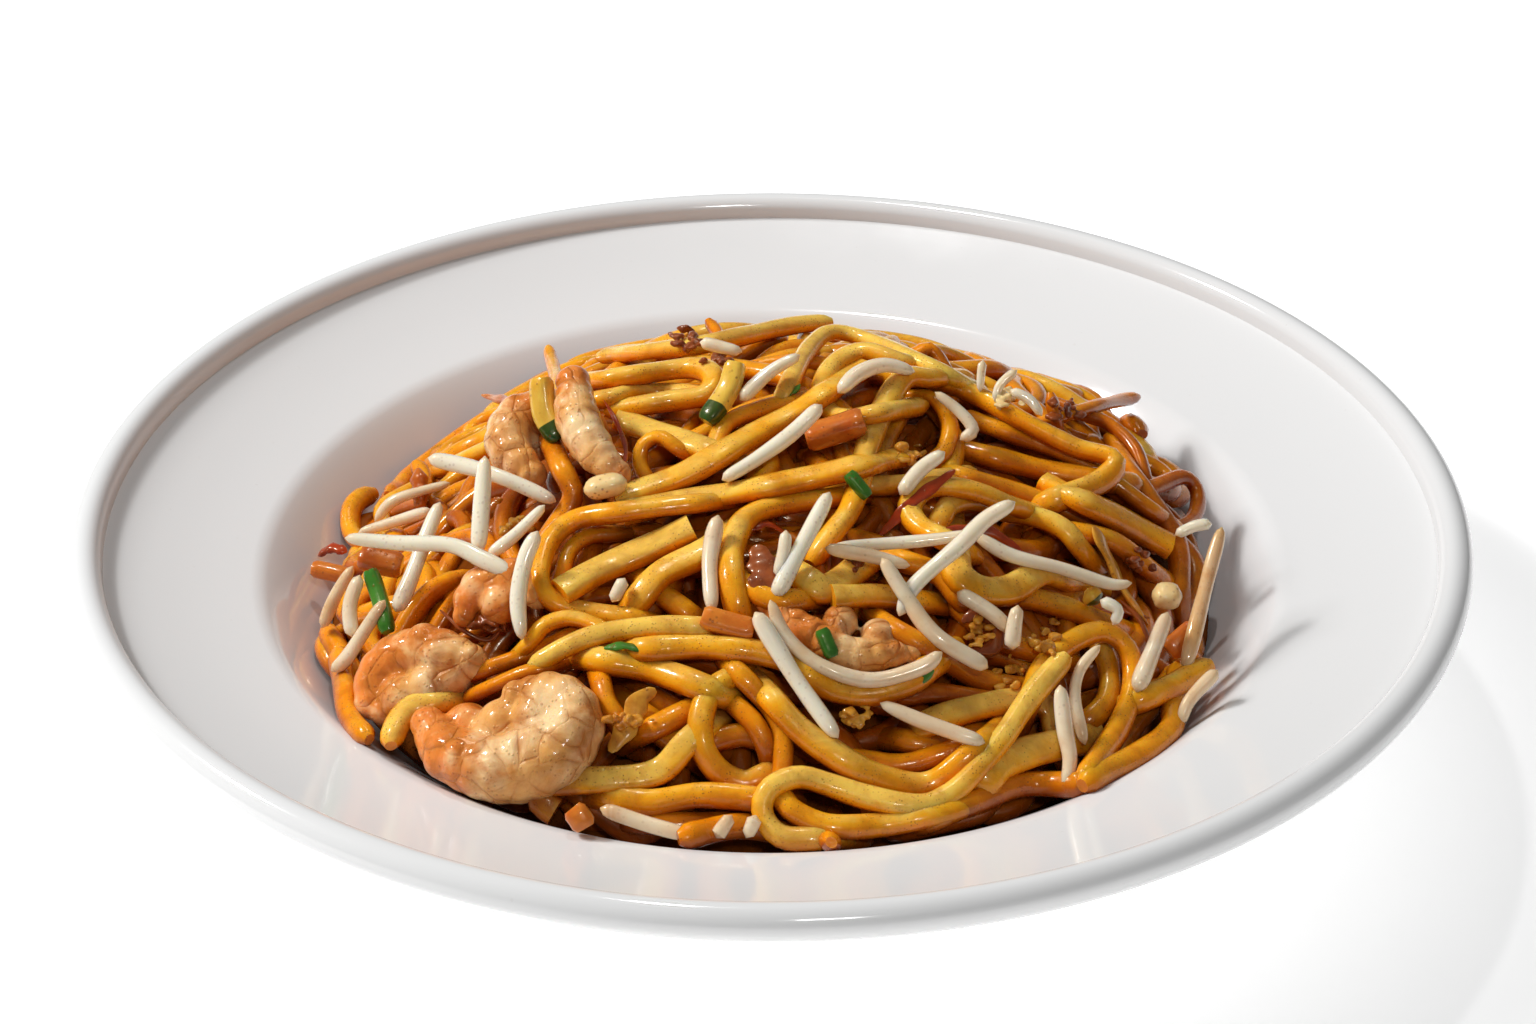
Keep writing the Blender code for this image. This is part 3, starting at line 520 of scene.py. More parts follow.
# Noodles that show, from the lowest to the topmost: width, tone from brown 0 to pale 1, pixels
NOODLE_ROUTES = [
    (4.0, 0.30, [(910, 358), (930, 350), (948, 375)]),
    (3.2, 0.15, [(708, 320), (718, 335), (724, 352)]),
    (3.0, 0.60, [(548, 347), (552, 362), (556, 378)]),
    (3.6, 0.10, [(1085, 415), (1110, 425), (1135, 450), (1147, 485)]),
    (3.6, 0.12, [(1135, 495), (1160, 485), (1185, 477), (1198, 495), (1192, 520), (1165, 535)]),
    (3.4, 0.35, [(1050, 420), (1100, 405), (1138, 397)]),
    (3.0, 0.30, [(1050, 393), (1055, 415)]),
    (4.4, 0.25, [(1130, 470), (1150, 500), (1176, 540), (1180, 590)]),
    (4.6, 0.50, [(700, 365), (760, 372), (800, 385), (850, 420)]),
    (4.4, 0.80, [(640, 352), (700, 345), (790, 326), (832, 322)]),
    (4.6, 0.75, [(610, 398), (640, 392), (700, 395), (720, 410)]),
    (4.8, 0.65, [(600, 380), (650, 373), (695, 368), (714, 378), (705, 395), (670, 401), (645, 405)]),
    (3.8, 0.45, [(690, 440), (720, 425), (750, 410), (790, 398)]),
    (3.8, 0.50, [(675, 478), (710, 455), (725, 425), (760, 410), (800, 400)]),
    (5.0, 0.90, [(655, 432), (700, 447), (722, 454)]),
    (3.2, 0.45, [(680, 450), (660, 437), (643, 445), (640, 465), (650, 485)]),
    (4.0, 0.55, [(890, 400), (930, 408), (955, 440), (950, 478)]),
    (3.8, 0.45, [(905, 395), (935, 400), (950, 425), (945, 450), (935, 460)]),
    (5.0, 0.50, [(895, 420), (882, 448), (875, 478)]),
    (4.4, 0.40, [(970, 400), (1020, 440), (1080, 470), (1130, 500)]),
    (4.4, 0.50, [(1000, 430), (1060, 452), (1110, 480), (1150, 510)]),
    (5.2, 0.50, [(995, 458), (1050, 472), (1100, 480)]),
    (4.2, 0.50, [(960, 475), (1010, 490), (1060, 508), (1095, 525)]),
    (5.0, 0.60, [(900, 378), (940, 380), (985, 400), (1030, 425), (1075, 447), (1115, 460), (1100, 482),
                 (1050, 502)]),
    (6.0, 0.60, [(1080, 500), (1120, 520), (1170, 547)]),
    (4.6, 0.80, [(855, 485), (900, 485), (935, 480)]),
    (4.6, 0.45, [(1060, 530), (1110, 540), (1150, 570)]),
    (4.4, 0.50, [(1000, 595), (1050, 603), (1110, 625)]),
    (4.6, 0.40, [(960, 610), (1000, 640), (1060, 660)]),
    (4.4, 0.35, [(880, 620), (930, 650), (980, 680), (1030, 690)]),
    (4.6, 0.45, [(740, 580), (770, 600), (800, 600)]),
    (5.6, 0.70, [(800, 575), (825, 590), (860, 567)]),
    (5.0, 0.65, [(832, 597), (880, 596), (926, 602)]),
    (4.8, 0.55, [(900, 560), (940, 575), (960, 600)]),
    (5.8, 0.75, [(955, 550), (958, 575), (980, 590), (1010, 590), (1040, 573), (1065, 578)]),
    (4.4, 0.70, [(940, 520), (950, 505), (975, 500), (1000, 510), (1040, 518), (1065, 530), (1080, 548)]),
    (4.6, 0.70, [(945, 540), (918, 525), (910, 505), (930, 487), (970, 490), (1010, 505)]),
    (4.4, 0.35, [(560, 465), (573, 495), (560, 520), (550, 535)]),
    (4.6, 0.50, [(650, 585), (690, 615)]),
    (3.4, 0.50, [(620, 533), (590, 536), (570, 550), (562, 575)]),
    (6.0, 0.65, [(633, 606), (660, 575), (700, 555), (730, 535)]),
    (5.0, 0.55, [(740, 620), (732, 580), (732, 550), (745, 520), (780, 505), (840, 497)]),
    (5.0, 0.65, [(930, 378), (905, 378), (885, 405), (868, 445), (860, 480), (850, 510), (835, 530)]),
    (4.0, 0.90, [(785, 392), (797, 368), (812, 345), (832, 332), (870, 340), (910, 357), (950, 377)]),
    (4.6, 0.70, [(900, 362), (865, 352), (835, 365), (822, 388), (828, 410), (850, 418), (885, 412)]),
    (5.6, 0.60, [(615, 500), (680, 477), (740, 443), (800, 410), (830, 390)]),
    (5.4, 0.62, [(622, 513), (680, 502), (740, 492), (800, 480), (862, 466)]),
    (4.2, 0.55, [(700, 503), (620, 512), (575, 520), (550, 540), (540, 570), (543, 590), (560, 605),
                 (590, 612),
                 (640, 620)]),
    (5.8, 0.80, [(560, 592), (600, 570), (650, 548), (692, 527)]),
    (5.0, 0.35, [(660, 650), (720, 665), (780, 690)]),
    (5.0, 0.40, [(640, 690), (690, 720), (720, 745)]),
    (5.6, 0.45, [(640, 715), (665, 732), (690, 752)]),
    (4.6, 0.40, [(650, 730), (680, 715), (710, 700)]),
    (4.4, 0.35, [(600, 680), (606, 702), (618, 722)]),
    (4.8, 0.40, [(900, 740), (940, 745), (980, 735)]),
    (4.8, 0.30, [(930, 820), (980, 800), (1020, 785), (1080, 785)]),
    (4.4, 0.25, [(640, 822), (700, 824), (760, 818)]),
    (4.8, 0.35, [(680, 838), (740, 826), (790, 835)]),
    (4.4, 0.30, [(850, 760), (900, 765), (940, 755), (975, 742)]),
    (4.0, 0.25, [(905, 695), (940, 693), (1000, 702)]),
    (4.6, 0.30, [(790, 720), (820, 745), (850, 770)]),
    (4.8, 0.40, [(1100, 720), (1130, 700), (1160, 690)]),
    (4.6, 0.45, [(1110, 760), (1135, 725), (1155, 700)]),
    (5.0, 0.45, [(1060, 800), (1100, 775), (1140, 755), (1170, 730), (1174, 705)]),
    (4.8, 0.50, [(1085, 725), (1108, 700), (1108, 665), (1100, 645)]),
    (5.4, 0.80, [(925, 725), (960, 712), (1010, 702), (1045, 705), (1058, 738)]),
    (5.8, 0.75, [(985, 782), (1000, 765), (1030, 752), (1060, 745)]),
    (4.4, 0.35, [(700, 745), (740, 735), (765, 742)]),
    (3.8, 0.35, [(732, 702), (755, 725), (766, 748), (770, 765)]),
    (4.8, 0.60, [(735, 675), (712, 690), (701, 718), (703, 748), (720, 773), (745, 784), (767, 775)]),
    (4.0, 0.45, [(735, 670), (755, 690), (775, 715), (783, 745), (782, 775), (778, 790)]),
    (5.4, 0.65, [(600, 660), (660, 672), (715, 692)]),
    (4.8, 0.60, [(640, 650), (700, 647), (760, 653), (800, 666)]),
    (5.2, 0.60, [(800, 668), (830, 688), (870, 693), (910, 682), (928, 668)]),
    (3.4, 0.20, [(478, 672), (520, 657), (545, 648), (575, 634)]),
    (3.2, 0.25, [(480, 692), (520, 674), (545, 668)]),
    (3.4, 0.55, [(530, 642), (545, 625), (570, 618), (595, 625), (615, 638)]),
    (4.2, 0.88, [(530, 668), (570, 645), (610, 632), (660, 627), (705, 628)]),
    (5.0, 0.70, [(440, 702), (415, 707), (398, 724), (391, 750), (404, 768), (430, 784)]),
    (5.0, 0.60, [(612, 798), (650, 803), (700, 795), (762, 800)]),
    (5.2, 0.78, [(555, 812), (541, 802), (545, 786), (580, 781), (640, 777), (665, 768), (685, 745),
                 (700, 732)]),
    (5.2, 0.60, [(772, 700), (800, 730), (830, 752), (870, 775), (910, 787), (935, 783), (960, 765),
                 (985, 742)]),
    (4.6, 0.50, [(783, 800), (795, 812), (830, 826), (880, 825), (930, 815), (960, 808)]),
    (4.6, 0.45, [(1030, 700), (1045, 665), (1075, 640), (1105, 632), (1128, 650), (1133, 685), (1120, 725),
                 (1098, 760), (1085, 780)]),
    (5.2, 0.60, [(1140, 700), (1175, 685), (1212, 664)]),
    (4.4, 0.78, [(830, 838), (785, 838), (765, 820), (763, 800), (775, 785), (800, 777), (830, 785),
                 (870, 798),
                 (920, 806), (945, 798), (965, 782), (985, 760), (1005, 735), (1025, 705), (1045, 680),
                 (1068, 655)]),
    (3.6, 0.40, [(415, 462), (424, 480), (420, 508)]),
    (4.6, 0.40, [(345, 690), (350, 718), (372, 742), (400, 762)]),
]
# Places in that list of the noodles that are flat strips with square cut ends
FLAT_STRIPS = {14, 24, 31, 32, 34, 40, 45, 46, 48, 65, 66, 80}
# Noodles whose first or last end shows; the other ends run on under the heap
OPEN_STARTS = {1, 2, 6, 32, 45, 46, 48, 77, 80, 86}
OPEN_ENDS = {5, 9, 24, 48, 84, 85, 86}

# Bean sprouts: leaning, width, stain from clean 0 to sauced 1, pixels
SPROUT_ROUTES = [
    (0.5, 2.6, 0.4, [(375, 522), (395, 500), (450, 483)]),
    (0.5, 2.8, 0.3, [(358, 533), (400, 520), (432, 510)]),
    (0.8, 3.2, 0.5, [(385, 600), (365, 630), (345, 660), (331, 671)]),
    (0.8, 3.0, 0.6, [(353, 566), (335, 597), (322, 628)]),
    (0.8, 3.4, 0.4, [(360, 575), (350, 605), (352, 637)]),
    (0.5, 3.6, 0.1, [(440, 502), (425, 540), (410, 580), (396, 612)]),
    (0.35, 3.5, 0.0, [(345, 538), (400, 543), (450, 545), (480, 558), (518, 577)]),
    (0.3, 3.5, 0.0, [(428, 458), (480, 470), (520, 485), (556, 502)]),
    (0.5, 3.8, 0.0, [(485, 456), (482, 500), (478, 553)]),
    (0.6, 2.8, 0.1, [(545, 505), (515, 535), (488, 556)]),
    (0.6, 3.6, 0.0, [(538, 531), (525, 560), (518, 600), (522, 640)]),
    (1.0, 2.8, 0.3, [(625, 578), (612, 602)]),
    (1.0, 3.0, 0.4, [(700, 342), (742, 352)]),
    (1.0, 3.2, 0.2, [(800, 355), (770, 372), (740, 400)]),
    (1.0, 3.6, 0.2, [(838, 393), (858, 374), (885, 365), (915, 372)]),
    (0.5, 2.0, 0.3, [(983, 360), (981, 375), (980, 392)]),
    (0.5, 2.2, 0.3, [(1017, 370), (1000, 385), (995, 402)]),
    (0.7, 2.4, 0.3, [(1010, 390), (1030, 400), (1042, 416)]),
    (1.0, 3.4, 0.3, [(945, 452), (920, 470), (900, 495)]),
    (1.0, 2.8, 0.4, [(935, 392), (960, 412), (973, 430), (960, 440)]),
    (0.7, 3.5, 0.05, [(822, 405), (790, 435), (755, 460), (722, 480)]),
    (1.0, 3.5, 0.35, [(718, 515), (710, 560), (712, 612)]),
    (1.0, 3.0, 0.4, [(786, 530), (784, 552), (779, 578)]),
    (0.7, 3.5, 0.0, [(830, 492), (810, 530), (790, 568), (775, 598)]),
    (1.0, 3.0, 0.3, [(975, 535), (1010, 555), (1060, 568), (1110, 584), (1132, 583)]),
    (1.0, 2.8, 0.15, [(830, 550), (870, 545), (930, 540), (978, 533)]),
    (1.0, 3.0, 0.6, [(825, 548), (870, 556), (910, 566)]),
    (0.8, 3.5, 0.05, [(1015, 502), (985, 520), (960, 545), (915, 585), (899, 616)]),
    (1.0, 3.6, 0.4, [(882, 558), (905, 595), (935, 635), (988, 668)]),
    (1.0, 3.5, 0.5, [(957, 592), (990, 612), (1012, 632)]),
    (1.0, 3.3, 0.3, [(1018, 605), (1014, 628), (1012, 650)]),
    (1.0, 3.2, 0.45, [(770, 600), (785, 635), (820, 665), (870, 680), (920, 668), (942, 652)]),
    (1.0, 3.6, 0.05, [(755, 612), (775, 645), (800, 685), (838, 738)]),
    (1.0, 3.2, 0.35, [(880, 703), (925, 722), (985, 743)]),
    (1.0, 2.6, 0.5, [(1100, 645), (1080, 670), (1075, 700), (1085, 745)]),
    (1.0, 3.4, 0.35, [(1060, 685), (1065, 730), (1070, 760), (1065, 793)]),
    (1.0, 3.8, 0.4, [(1168, 612), (1155, 645), (1136, 692)]),
    (0.35, 3.4, 0.8, [(1222, 527), (1210, 570), (1195, 630), (1185, 670)]),
    (0.6, 2.8, 0.1, [(1175, 535), (1195, 526), (1212, 524)]),
    (0.6, 3.0, 0.5, [(1218, 670), (1190, 700), (1180, 725)]),
    (1.0, 3.2, 0.6, [(600, 808), (650, 825), (700, 838)]),
    (1.0, 3.0, 0.5, [(716, 838), (724, 826), (732, 815)]),
    (1.0, 3.0, 0.5, [(746, 838), (752, 826), (756, 815)]),
    (1.0, 2.6, 0.1, [(1100, 600), (1118, 610), (1113, 625)]),
]

# Prawns: name, leaning, route and radii as in the frame, skin along it from bare flesh 0 to shell 1, and the
# lumps that fill the curl: pixel, radius, skin
PRAWNS = [
    ("prawn_front", 1.0,
     [(428, 724), (450, 752), (498, 770), (550, 758), (576, 722), (556, 694), (516, 694)],
     [3.6, 5.8, 6.6, 7.2, 6.2, 4.6, 2.8], [1.0, 0.9, 0.2, 0.15, 0.2, 0.1, 0.1],
     [((505, 728), 5.6, 0.0), ((468, 728), 4.8, 0.7), ((540, 724), 6.0, 0.0)]),
    ("prawn_left", 1.0,
     [(470, 662), (430, 652), (388, 666), (374, 700), (398, 718)], [3.8, 5.4, 5.4, 4.4, 2.4],
     [0.1, 0.5, 0.9, 1.0, 0.5], [((430, 688), 4.8, 0.0), ((452, 676), 4.2, 0.0), ((405, 698), 5.0, 0.4)]),
    ("prawn_middle", 1.0, [(538, 594), (508, 578), (474, 592), (464, 616)], [3.2, 4.4, 4.2, 2.4],
     [0.3, 0.7, 0.7, 1.0], [((500, 604), 4.0, 0.6)]),
    ("prawn_back", 0.4, [(574, 382), (578, 420), (598, 456), (620, 474)], [3.6, 4.9, 4.4, 2.5],
     [0.7, 0.3, 0.1, 0.4], [((590, 428), 3.6, 0.9)]),
    ("prawn_curled", 0.4, [(550, 404), (516, 418), (508, 448), (532, 474)], [3.4, 4.8, 5.0, 3.2],
     [0.5, 0.5, 0.1, 0.1], [((532, 442), 4.4, 0.2)]),
    ("prawn_centre", 1.0, [(768, 602), (800, 628), (850, 655), (912, 652)], [2.6, 3.8, 3.8, 2.2],
     [0.8, 0.7, 0.2, 0.1], [((840, 622), 3.4, 0.2), ((878, 636), 3.4, 0.1)]),
]

# Cut vegetables: name, node, finish, leaning, half width, half height, pixels
CUT_PIECES = [
    ("courgette_baton_left", "courgette_left", "courgette", 0.12, 2.4, 2.0,
     [(541, 378), (545, 415), (560, 440)]),
    ("courgette_baton_back", "courgette_back", "courgette", 0.6, 2.2, 1.8,
     [(736, 362), (728, 390), (706, 422)]),
    ("scallion_cut_left", "scallion_left", "scallion", 0.6, 1.6, 1.4, [(370, 570), (380, 600), (388, 632)]),
    ("scallion_cut_back", "scallion_back", "scallion", 1.0, 1.3, 1.2, [(848, 473), (858, 485), (868, 497)]),
    ("scallion_cut_middle", "scallion_middle", "scallion", 1.0, 1.4, 1.2,
     [(821, 629), (827, 643), (833, 657)]),
    ("carrot_chunk_back", "carrot_back", "carrot", 1.0, 2.8, 2.4, [(806, 438), (835, 430), (864, 420)]),
    ("carrot_stick_middle", "carrot_middle", "carrot", 1.0, 2.2, 1.8, [(702, 616), (728, 624), (754, 630)]),
    ("carrot_stick_left", "carrot_left", "carrot", 0.4, 1.7, 1.6, [(312, 568), (330, 572), (348, 576)]),
    ("carrot_chunk_side", "carrot_side", "carrot", 1.0, 2.6, 2.0, [(360, 556), (382, 562), (402, 566)]),
    ("carrot_chunk_right", "carrot_right", "carrot", 1.0, 2.4, 1.8, [(1168, 652), (1182, 640), (1196, 628)]),
    ("carrot_stick_front", "carrot_front", "carrot", 1.0, 2.2, 1.8, [(572, 808), (580, 818), (586, 828)]),
    ("peanut_half", "peanut", "peanut", 1.0, 2.2, 2.0, [(584, 491), (606, 486), (627, 482)]),
    ("round_bean", "bean", "peanut", 1.0, 2.6, 2.2, [(1152, 594), (1167, 596), (1182, 596)]),
    ("green_bean_seed", "green_bean", "courgette", 1.0, 1.9, 1.7, [(1086, 590), (1093, 597), (1098, 604)]),
]

# Crumpled bits that lie between the noodles: name, finish, size, number, spread in pixels, middle pixel
CRUMPLED_BITS = [
    ("crisp_onion_top", "crisp", 1.5, 12, 15, (684, 340)),
    ("crisp_onion_back", "crisp", 1.3, 10, 13, (716, 358)),
    ("egg_curl_right", "egg", 1.5, 14, 20, (1038, 640)),
    ("egg_curl_middle", "egg", 1.4, 12, 18, (978, 634)),
    ("egg_frill", "egg", 1.2, 10, 14, (858, 716)),
    ("egg_bits_top", "egg", 1.3, 12, 18, (917, 455)),
    ("egg_bits_right", "egg", 1.2, 10, 18, (1010, 675)),
    ("onion_bits_left", "egg", 1.2, 12, 20, (512, 525)),
    ("sauced_bits_left", "crisp", 1.3, 12, 16, (494, 622)),
    ("sauced_bits_back", "crisp", 1.3, 10, 18, (1070, 410)),
    ("pale_bits_back", "peanut", 1.4, 9, 14, (1008, 398)),
    ("sauced_bits_right", "crisp", 1.2, 12, 18, (1140, 560)),
    ("sauced_bits_middle", "crisp", 1.2, 10, 14, (855, 560)),
    ("egg_bits_front", "egg", 1.2, 10, 16, (625, 720)),
]

# Thin soft strips of pepper, onion and leaf: name, finish, width, flatness, pixels
SOFT_STRIPS = [
    ("pepper_strip_long", "pepper", 2.4, 0.35, [(955, 470), (935, 485), (915, 500), (895, 520), (880, 535)]),
    ("pepper_strip_middle", "pepper", 2.2, 0.4, [(930, 536), (960, 530), (990, 531), (1025, 556)]),
    ("pepper_strip_left", "pepper", 2.0, 0.4, [(750, 530), (768, 524), (786, 534)]),
    ("pepper_strip_edge", "pepper", 2.6, 0.6, [(318, 556), (332, 548), (347, 552)]),
    ("onion_slice_dark", "crisp", 5.6, 0.35, [(756, 545), (764, 572), (760, 602)]),
    ("onion_petal_right", "egg", 4.4, 0.35, [(1093, 526), (1108, 556), (1124, 590), (1148, 625)]),
    ("onion_strip_prawn", "egg", 4.0, 0.35, [(610, 752), (628, 725), (640, 700), (656, 690)]),
    ("onion_ring_glossy", "crisp", 3.0, 0.5, [(962, 622), (980, 612), (998, 626), (992, 648), (972, 650)]),
    ("leaf_sliver_middle", "scallion", 2.0, 0.4, [(604, 648), (628, 646), (652, 655)]),
    ("leaf_sliver_right", "scallion", 1.8, 0.4, [(918, 684), (926, 676), (934, 670)]),
    ("leaf_speck_top", "scallion", 1.6, 0.4, [(788, 396), (796, 390), (800, 384)]),
    ("orange_bean", "carrot", 3.8, 0.8, [(418, 468), (420, 488), (420, 510)]),
    ("orange_leg", "carrot", 2.2, 0.7, [(482, 395), (506, 400), (530, 400)]),
    ("brown_root_right", "crisp", 1.2, 0.7, [(1120, 600), (1140, 620), (1150, 650), (1148, 672)]),
    ("brown_root_low", "crisp", 1.0, 0.7, [(1100, 592), (1128, 612), (1150, 618)]),
    ("prawn_feeler_middle", "crisp", 0.9, 0.8, [(440, 610), (466, 632), (490, 640), (505, 622)]),
    ("sauced_thread_top", "pepper", 1.0, 0.7, [(604, 400), (618, 425), (626, 452), (620, 478)]),
]


def select_only(*objects):
    """Deselect everything, then select these and make the last one active."""
    bpy.ops.object.select_all(action="DESELECT")
    for item in objects:
        item.select_set(True)
        bpy.context.view_layer.objects.active = item


def settle(piece, material, slot, *nodes):
    """Give a finished piece its material, hang it on the body, and hide the frame's solids that it stands
    for. The slot is not used.
    """
    piece.data.materials.clear()
    piece.data.materials.append(material)
    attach(piece, BODY)
    if nodes:
        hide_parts(*nodes)


def apply_modifier(piece, kind, **settings):
    """Add one modifier to a piece and apply it."""
    select_only(piece)
    modifier = piece.modifiers.new(kind.lower(), kind)
    for name, value in settings.items():
        setattr(modifier, name, value)
    bpy.ops.object.modifier_apply(modifier=modifier.name)


def turn_faces_outward():
    """Turn the faces of the piece in edit mode outward and leave edit mode."""
    bpy.ops.mesh.select_all(action="SELECT")
    bpy.ops.mesh.normals_make_consistent(inside=False)
    bpy.ops.object.mode_set(mode="OBJECT")


def put_attribute(mesh, name, values):
    """Store one number for each corner of a mesh."""
    attribute = mesh.attributes.new(name, "FLOAT", "POINT")
    attribute.data.foreach_set("value", np.asarray(values, dtype=np.float32))


def mesh_places(mesh):
    """Places of a mesh's corners, in millimetres."""
    places = np.empty(len(mesh.vertices) * 3)
    mesh.vertices.foreach_get("co", places)
    return places.reshape(-1, 3) / MM


def set_mesh_places(mesh, places):
    """Move a mesh's corners to these places, in millimetres."""
    mesh.vertices.foreach_set("co", (places * MM).ravel())
    mesh.update()


def profile_curve(flatness, squareness):
    """Cross-section of a noodle as a closed curve, one millimetre in half width."""
    data = bpy.data.curves.new("profile", "CURVE")
    spline = data.splines.new("POLY")
    spline.points.add(PROFILE_SIDES - 1)
    for index, point in enumerate(spline.points):
        angle = 2 * math.pi * (index + 0.5) / PROFILE_SIDES
        across = math.copysign(abs(math.cos(angle)) ** (2 / squareness), math.cos(angle))
        upward = math.copysign(abs(math.sin(angle)) ** (2 / squareness), math.sin(angle)) * flatness
        point.co = (across * MM, upward * MM, 0.0, 1.0)
    spline.use_cyclic_u = True
    profile = bpy.data.objects.new("profile", data)
    bpy.context.scene.collection.objects.link(profile)
    return profile


def route_tilts(route, facing):
    """Angles that turn an upright cross-section to the way each stretch should face."""
    tangents = np.gradient(route, axis=0)
    tangents /= np.maximum(np.linalg.norm(tangents, axis=1, keepdims=True), SMALLEST_LENGTH)
    upright = np.array([0.0, 0.0, 1.0]) - tangents * tangents[:, 2:3]
    upright /= np.maximum(np.linalg.norm(upright, axis=1, keepdims=True), SMALLEST_LENGTH)
    wanted = facing - tangents * np.sum(facing * tangents, axis=1, keepdims=True)
    wanted /= np.maximum(np.linalg.norm(wanted, axis=1, keepdims=True), SMALLEST_LENGTH)
    sine = np.sum(np.cross(upright, wanted) * tangents, axis=1)
    return np.arctan2(sine, np.sum(upright * wanted, axis=1))


def strands_piece(name, strands, flatness, squareness):
    """One mesh of many strands. A strand is its route, its radii, its twist along it and its numbers."""
    bpy.ops.object.select_all(action="DESELECT")
    bpy.ops.curve.primitive_nurbs_path_add(location=(0, 0, 0))
    piece = bpy.context.object
    piece.name = name
    curve = piece.data
    curve.splines.clear()
    curve.twist_mode = "Z_UP"
    curve.bevel_mode = "OBJECT"
    curve.bevel_object = profile_curve(flatness, squareness)
    curve.use_fill_caps = True
    values = {}
    for route, radii, twist, numbers in strands:
        spline = curve.splines.new("POLY")
        spline.points.add(len(route) - 1)
        flat_places = np.column_stack([route * MM, np.ones(len(route))])
        spline.points.foreach_set("co", flat_places.ravel())
        spline.points.foreach_set("radius", np.asarray(radii, dtype=float))
        facing = mound_normal(route[:, 0], route[:, 1])
        tilts = route_tilts(route, facing) + np.linspace(0, 1, len(route)) * twist
        spline.points.foreach_set("tilt", tilts)
        spline.use_smooth = True
        ends = np.linspace(0, 1, len(route))
        for key, number in {"end": np.abs(ends * 2 - 1), **numbers}.items():
            values.setdefault(key, []).append(number if np.ndim(number) else np.full(len(route), number))
    profile = curve.bevel_object
    select_only(piece)
    bpy.ops.object.convert(target="MESH")
    bpy.data.objects.remove(profile)
    piece = bpy.context.object
    for key, runs in values.items():
        caps = [run[index] for run in reversed(runs) for index in (-1, 0)]
        put_attribute(piece.data, key, np.repeat(np.concatenate([caps] + runs), PROFILE_SIDES))
    select_only(piece)
    bpy.ops.object.mode_set(mode="EDIT")
    bpy.ops.mesh.select_all(action="SELECT")
    bpy.ops.mesh.remove_doubles(threshold=MERGE_DISTANCE * MM)
    turn_faces_outward()
    bpy.ops.object.shade_smooth_by_angle(angle=STRAND_SMOOTH_ANGLE)
    return piece


def wandering_route(draw, start):
    """A noodle's loose course in plan, turning back before it reaches the plate's wall."""
    length = draw.uniform(*FILL_LENGTH)
    heading = draw.uniform(0, 2 * math.pi)
    turn = draw.uniform(-FILL_TURN[0], FILL_TURN[0])
    places = [np.array(start)]
    for _ in range(int(length)):
        turn += draw.uniform(-FILL_TURN_CHANGE, FILL_TURN_CHANGE)
        turn = max(-FILL_TURN[1], min(FILL_TURN[1], turn))
        place = places[-1]
        inward = math.atan2(-place[1], -place[0])
        if math.hypot(*place) > FILL_REACH:
            heading += FILL_TURN_BACK * math.copysign(1, math.sin(inward - heading))
        heading += turn
        places.append(place + np.array([math.cos(heading), math.sin(heading)]))
    return np.array(places)


def pass_over(draw):
    """Leave out one draw, which keeps every later piece where it is."""
    draw.random()


def uneven_radii(draw, radii):
    """Slightly uneven thickness along a strand."""
    along = np.arange(len(radii))
    phase = draw.uniform(0, FULL_TURN)
    swelling = SWELLING * np.sin(along * draw.uniform(*SWELLING_TURN) + phase)
    return radii * (1 + swelling + RIPPLE * np.sin(along * RIPPLE_TURN + phase))


def round_ends(radii):
    """The same radii, narrowing to rounded ends."""
    radii = radii.copy()
    for index, share in enumerate(END_ROUNDING):
        radii[index] *= share
        radii[-1 - index] *= share
    return radii


def finish_under_noodle(surface, draw, route, radius):
    """Mark a noodle of the lower layers; returns its evenly read route and its uneven widths."""
    surface.mark(route, np.full(len(route), radius), ROUND_PROFILE[0])
    part = read_evenly(route, FILL_STEP)
    return part, round_ends(uneven_radii(draw, np.full(len(part), radius)))


def lay_fill(surface, draw):
    """Noodles of the heap's lower layers and of the sides that the photograph doesn't show."""
    strands = []
    for number in range(FILL_NOODLES):
        out = FILL_REACH * math.sqrt(draw.random())
        angle = draw.uniform(0, 2 * math.pi)
        plan = wandering_route(draw, (out * math.cos(angle), out * math.sin(angle)))
        radius = draw.uniform(*FILL_WIDTH) / 2
        layer = number / FILL_NOODLES
        depth = FILL_DEPTH[0] + (FILL_DEPTH[1] - FILL_DEPTH[0]) * layer
        along = np.arange(len(plan))
        wave = FILL_WAVE * np.sin(along * draw.uniform(*FILL_WAVE_TURN) + draw.uniform(0, FULL_TURN))
        seen = np.clip((FILL_FRONT - plan[:, 1]) / FILL_FRONT_RUN, 0, 1)
        height = mound_height(plan[:, 0], plan[:, 1]) - depth + wave - seen * FILL_CLEARANCE
        floor = dish_height(plan[:, 0], plan[:, 1]) + radius + DISH_GAP
        floor = floor + FILL_EDGE_LIFT * np.hypot(*plan.T) / FILL_REACH
        ends = np.minimum(along, along[::-1])
        height = height - FILL_END_DIP * np.clip(1 - ends / FILL_END_RUN, 0, 1) ** 2
        route = np.column_stack([plan, np.maximum(height, floor)])
        for _ in range(FILL_SETTLING):
            route[:, 2] = np.maximum(run_mean(route[:, 2], SMOOTHING_NEIGHBOURS), floor)
        tone = draw.uniform(*FILL_TONE) + FILL_TOP_TONE * layer * (1 - seen.mean())
        part, widths = finish_under_noodle(surface, draw, route, radius)
        strands.append((part, widths, draw.uniform(-FILL_TWIST, FILL_TWIST), {"tone": tone}))
        pass_over(draw)
    return strands


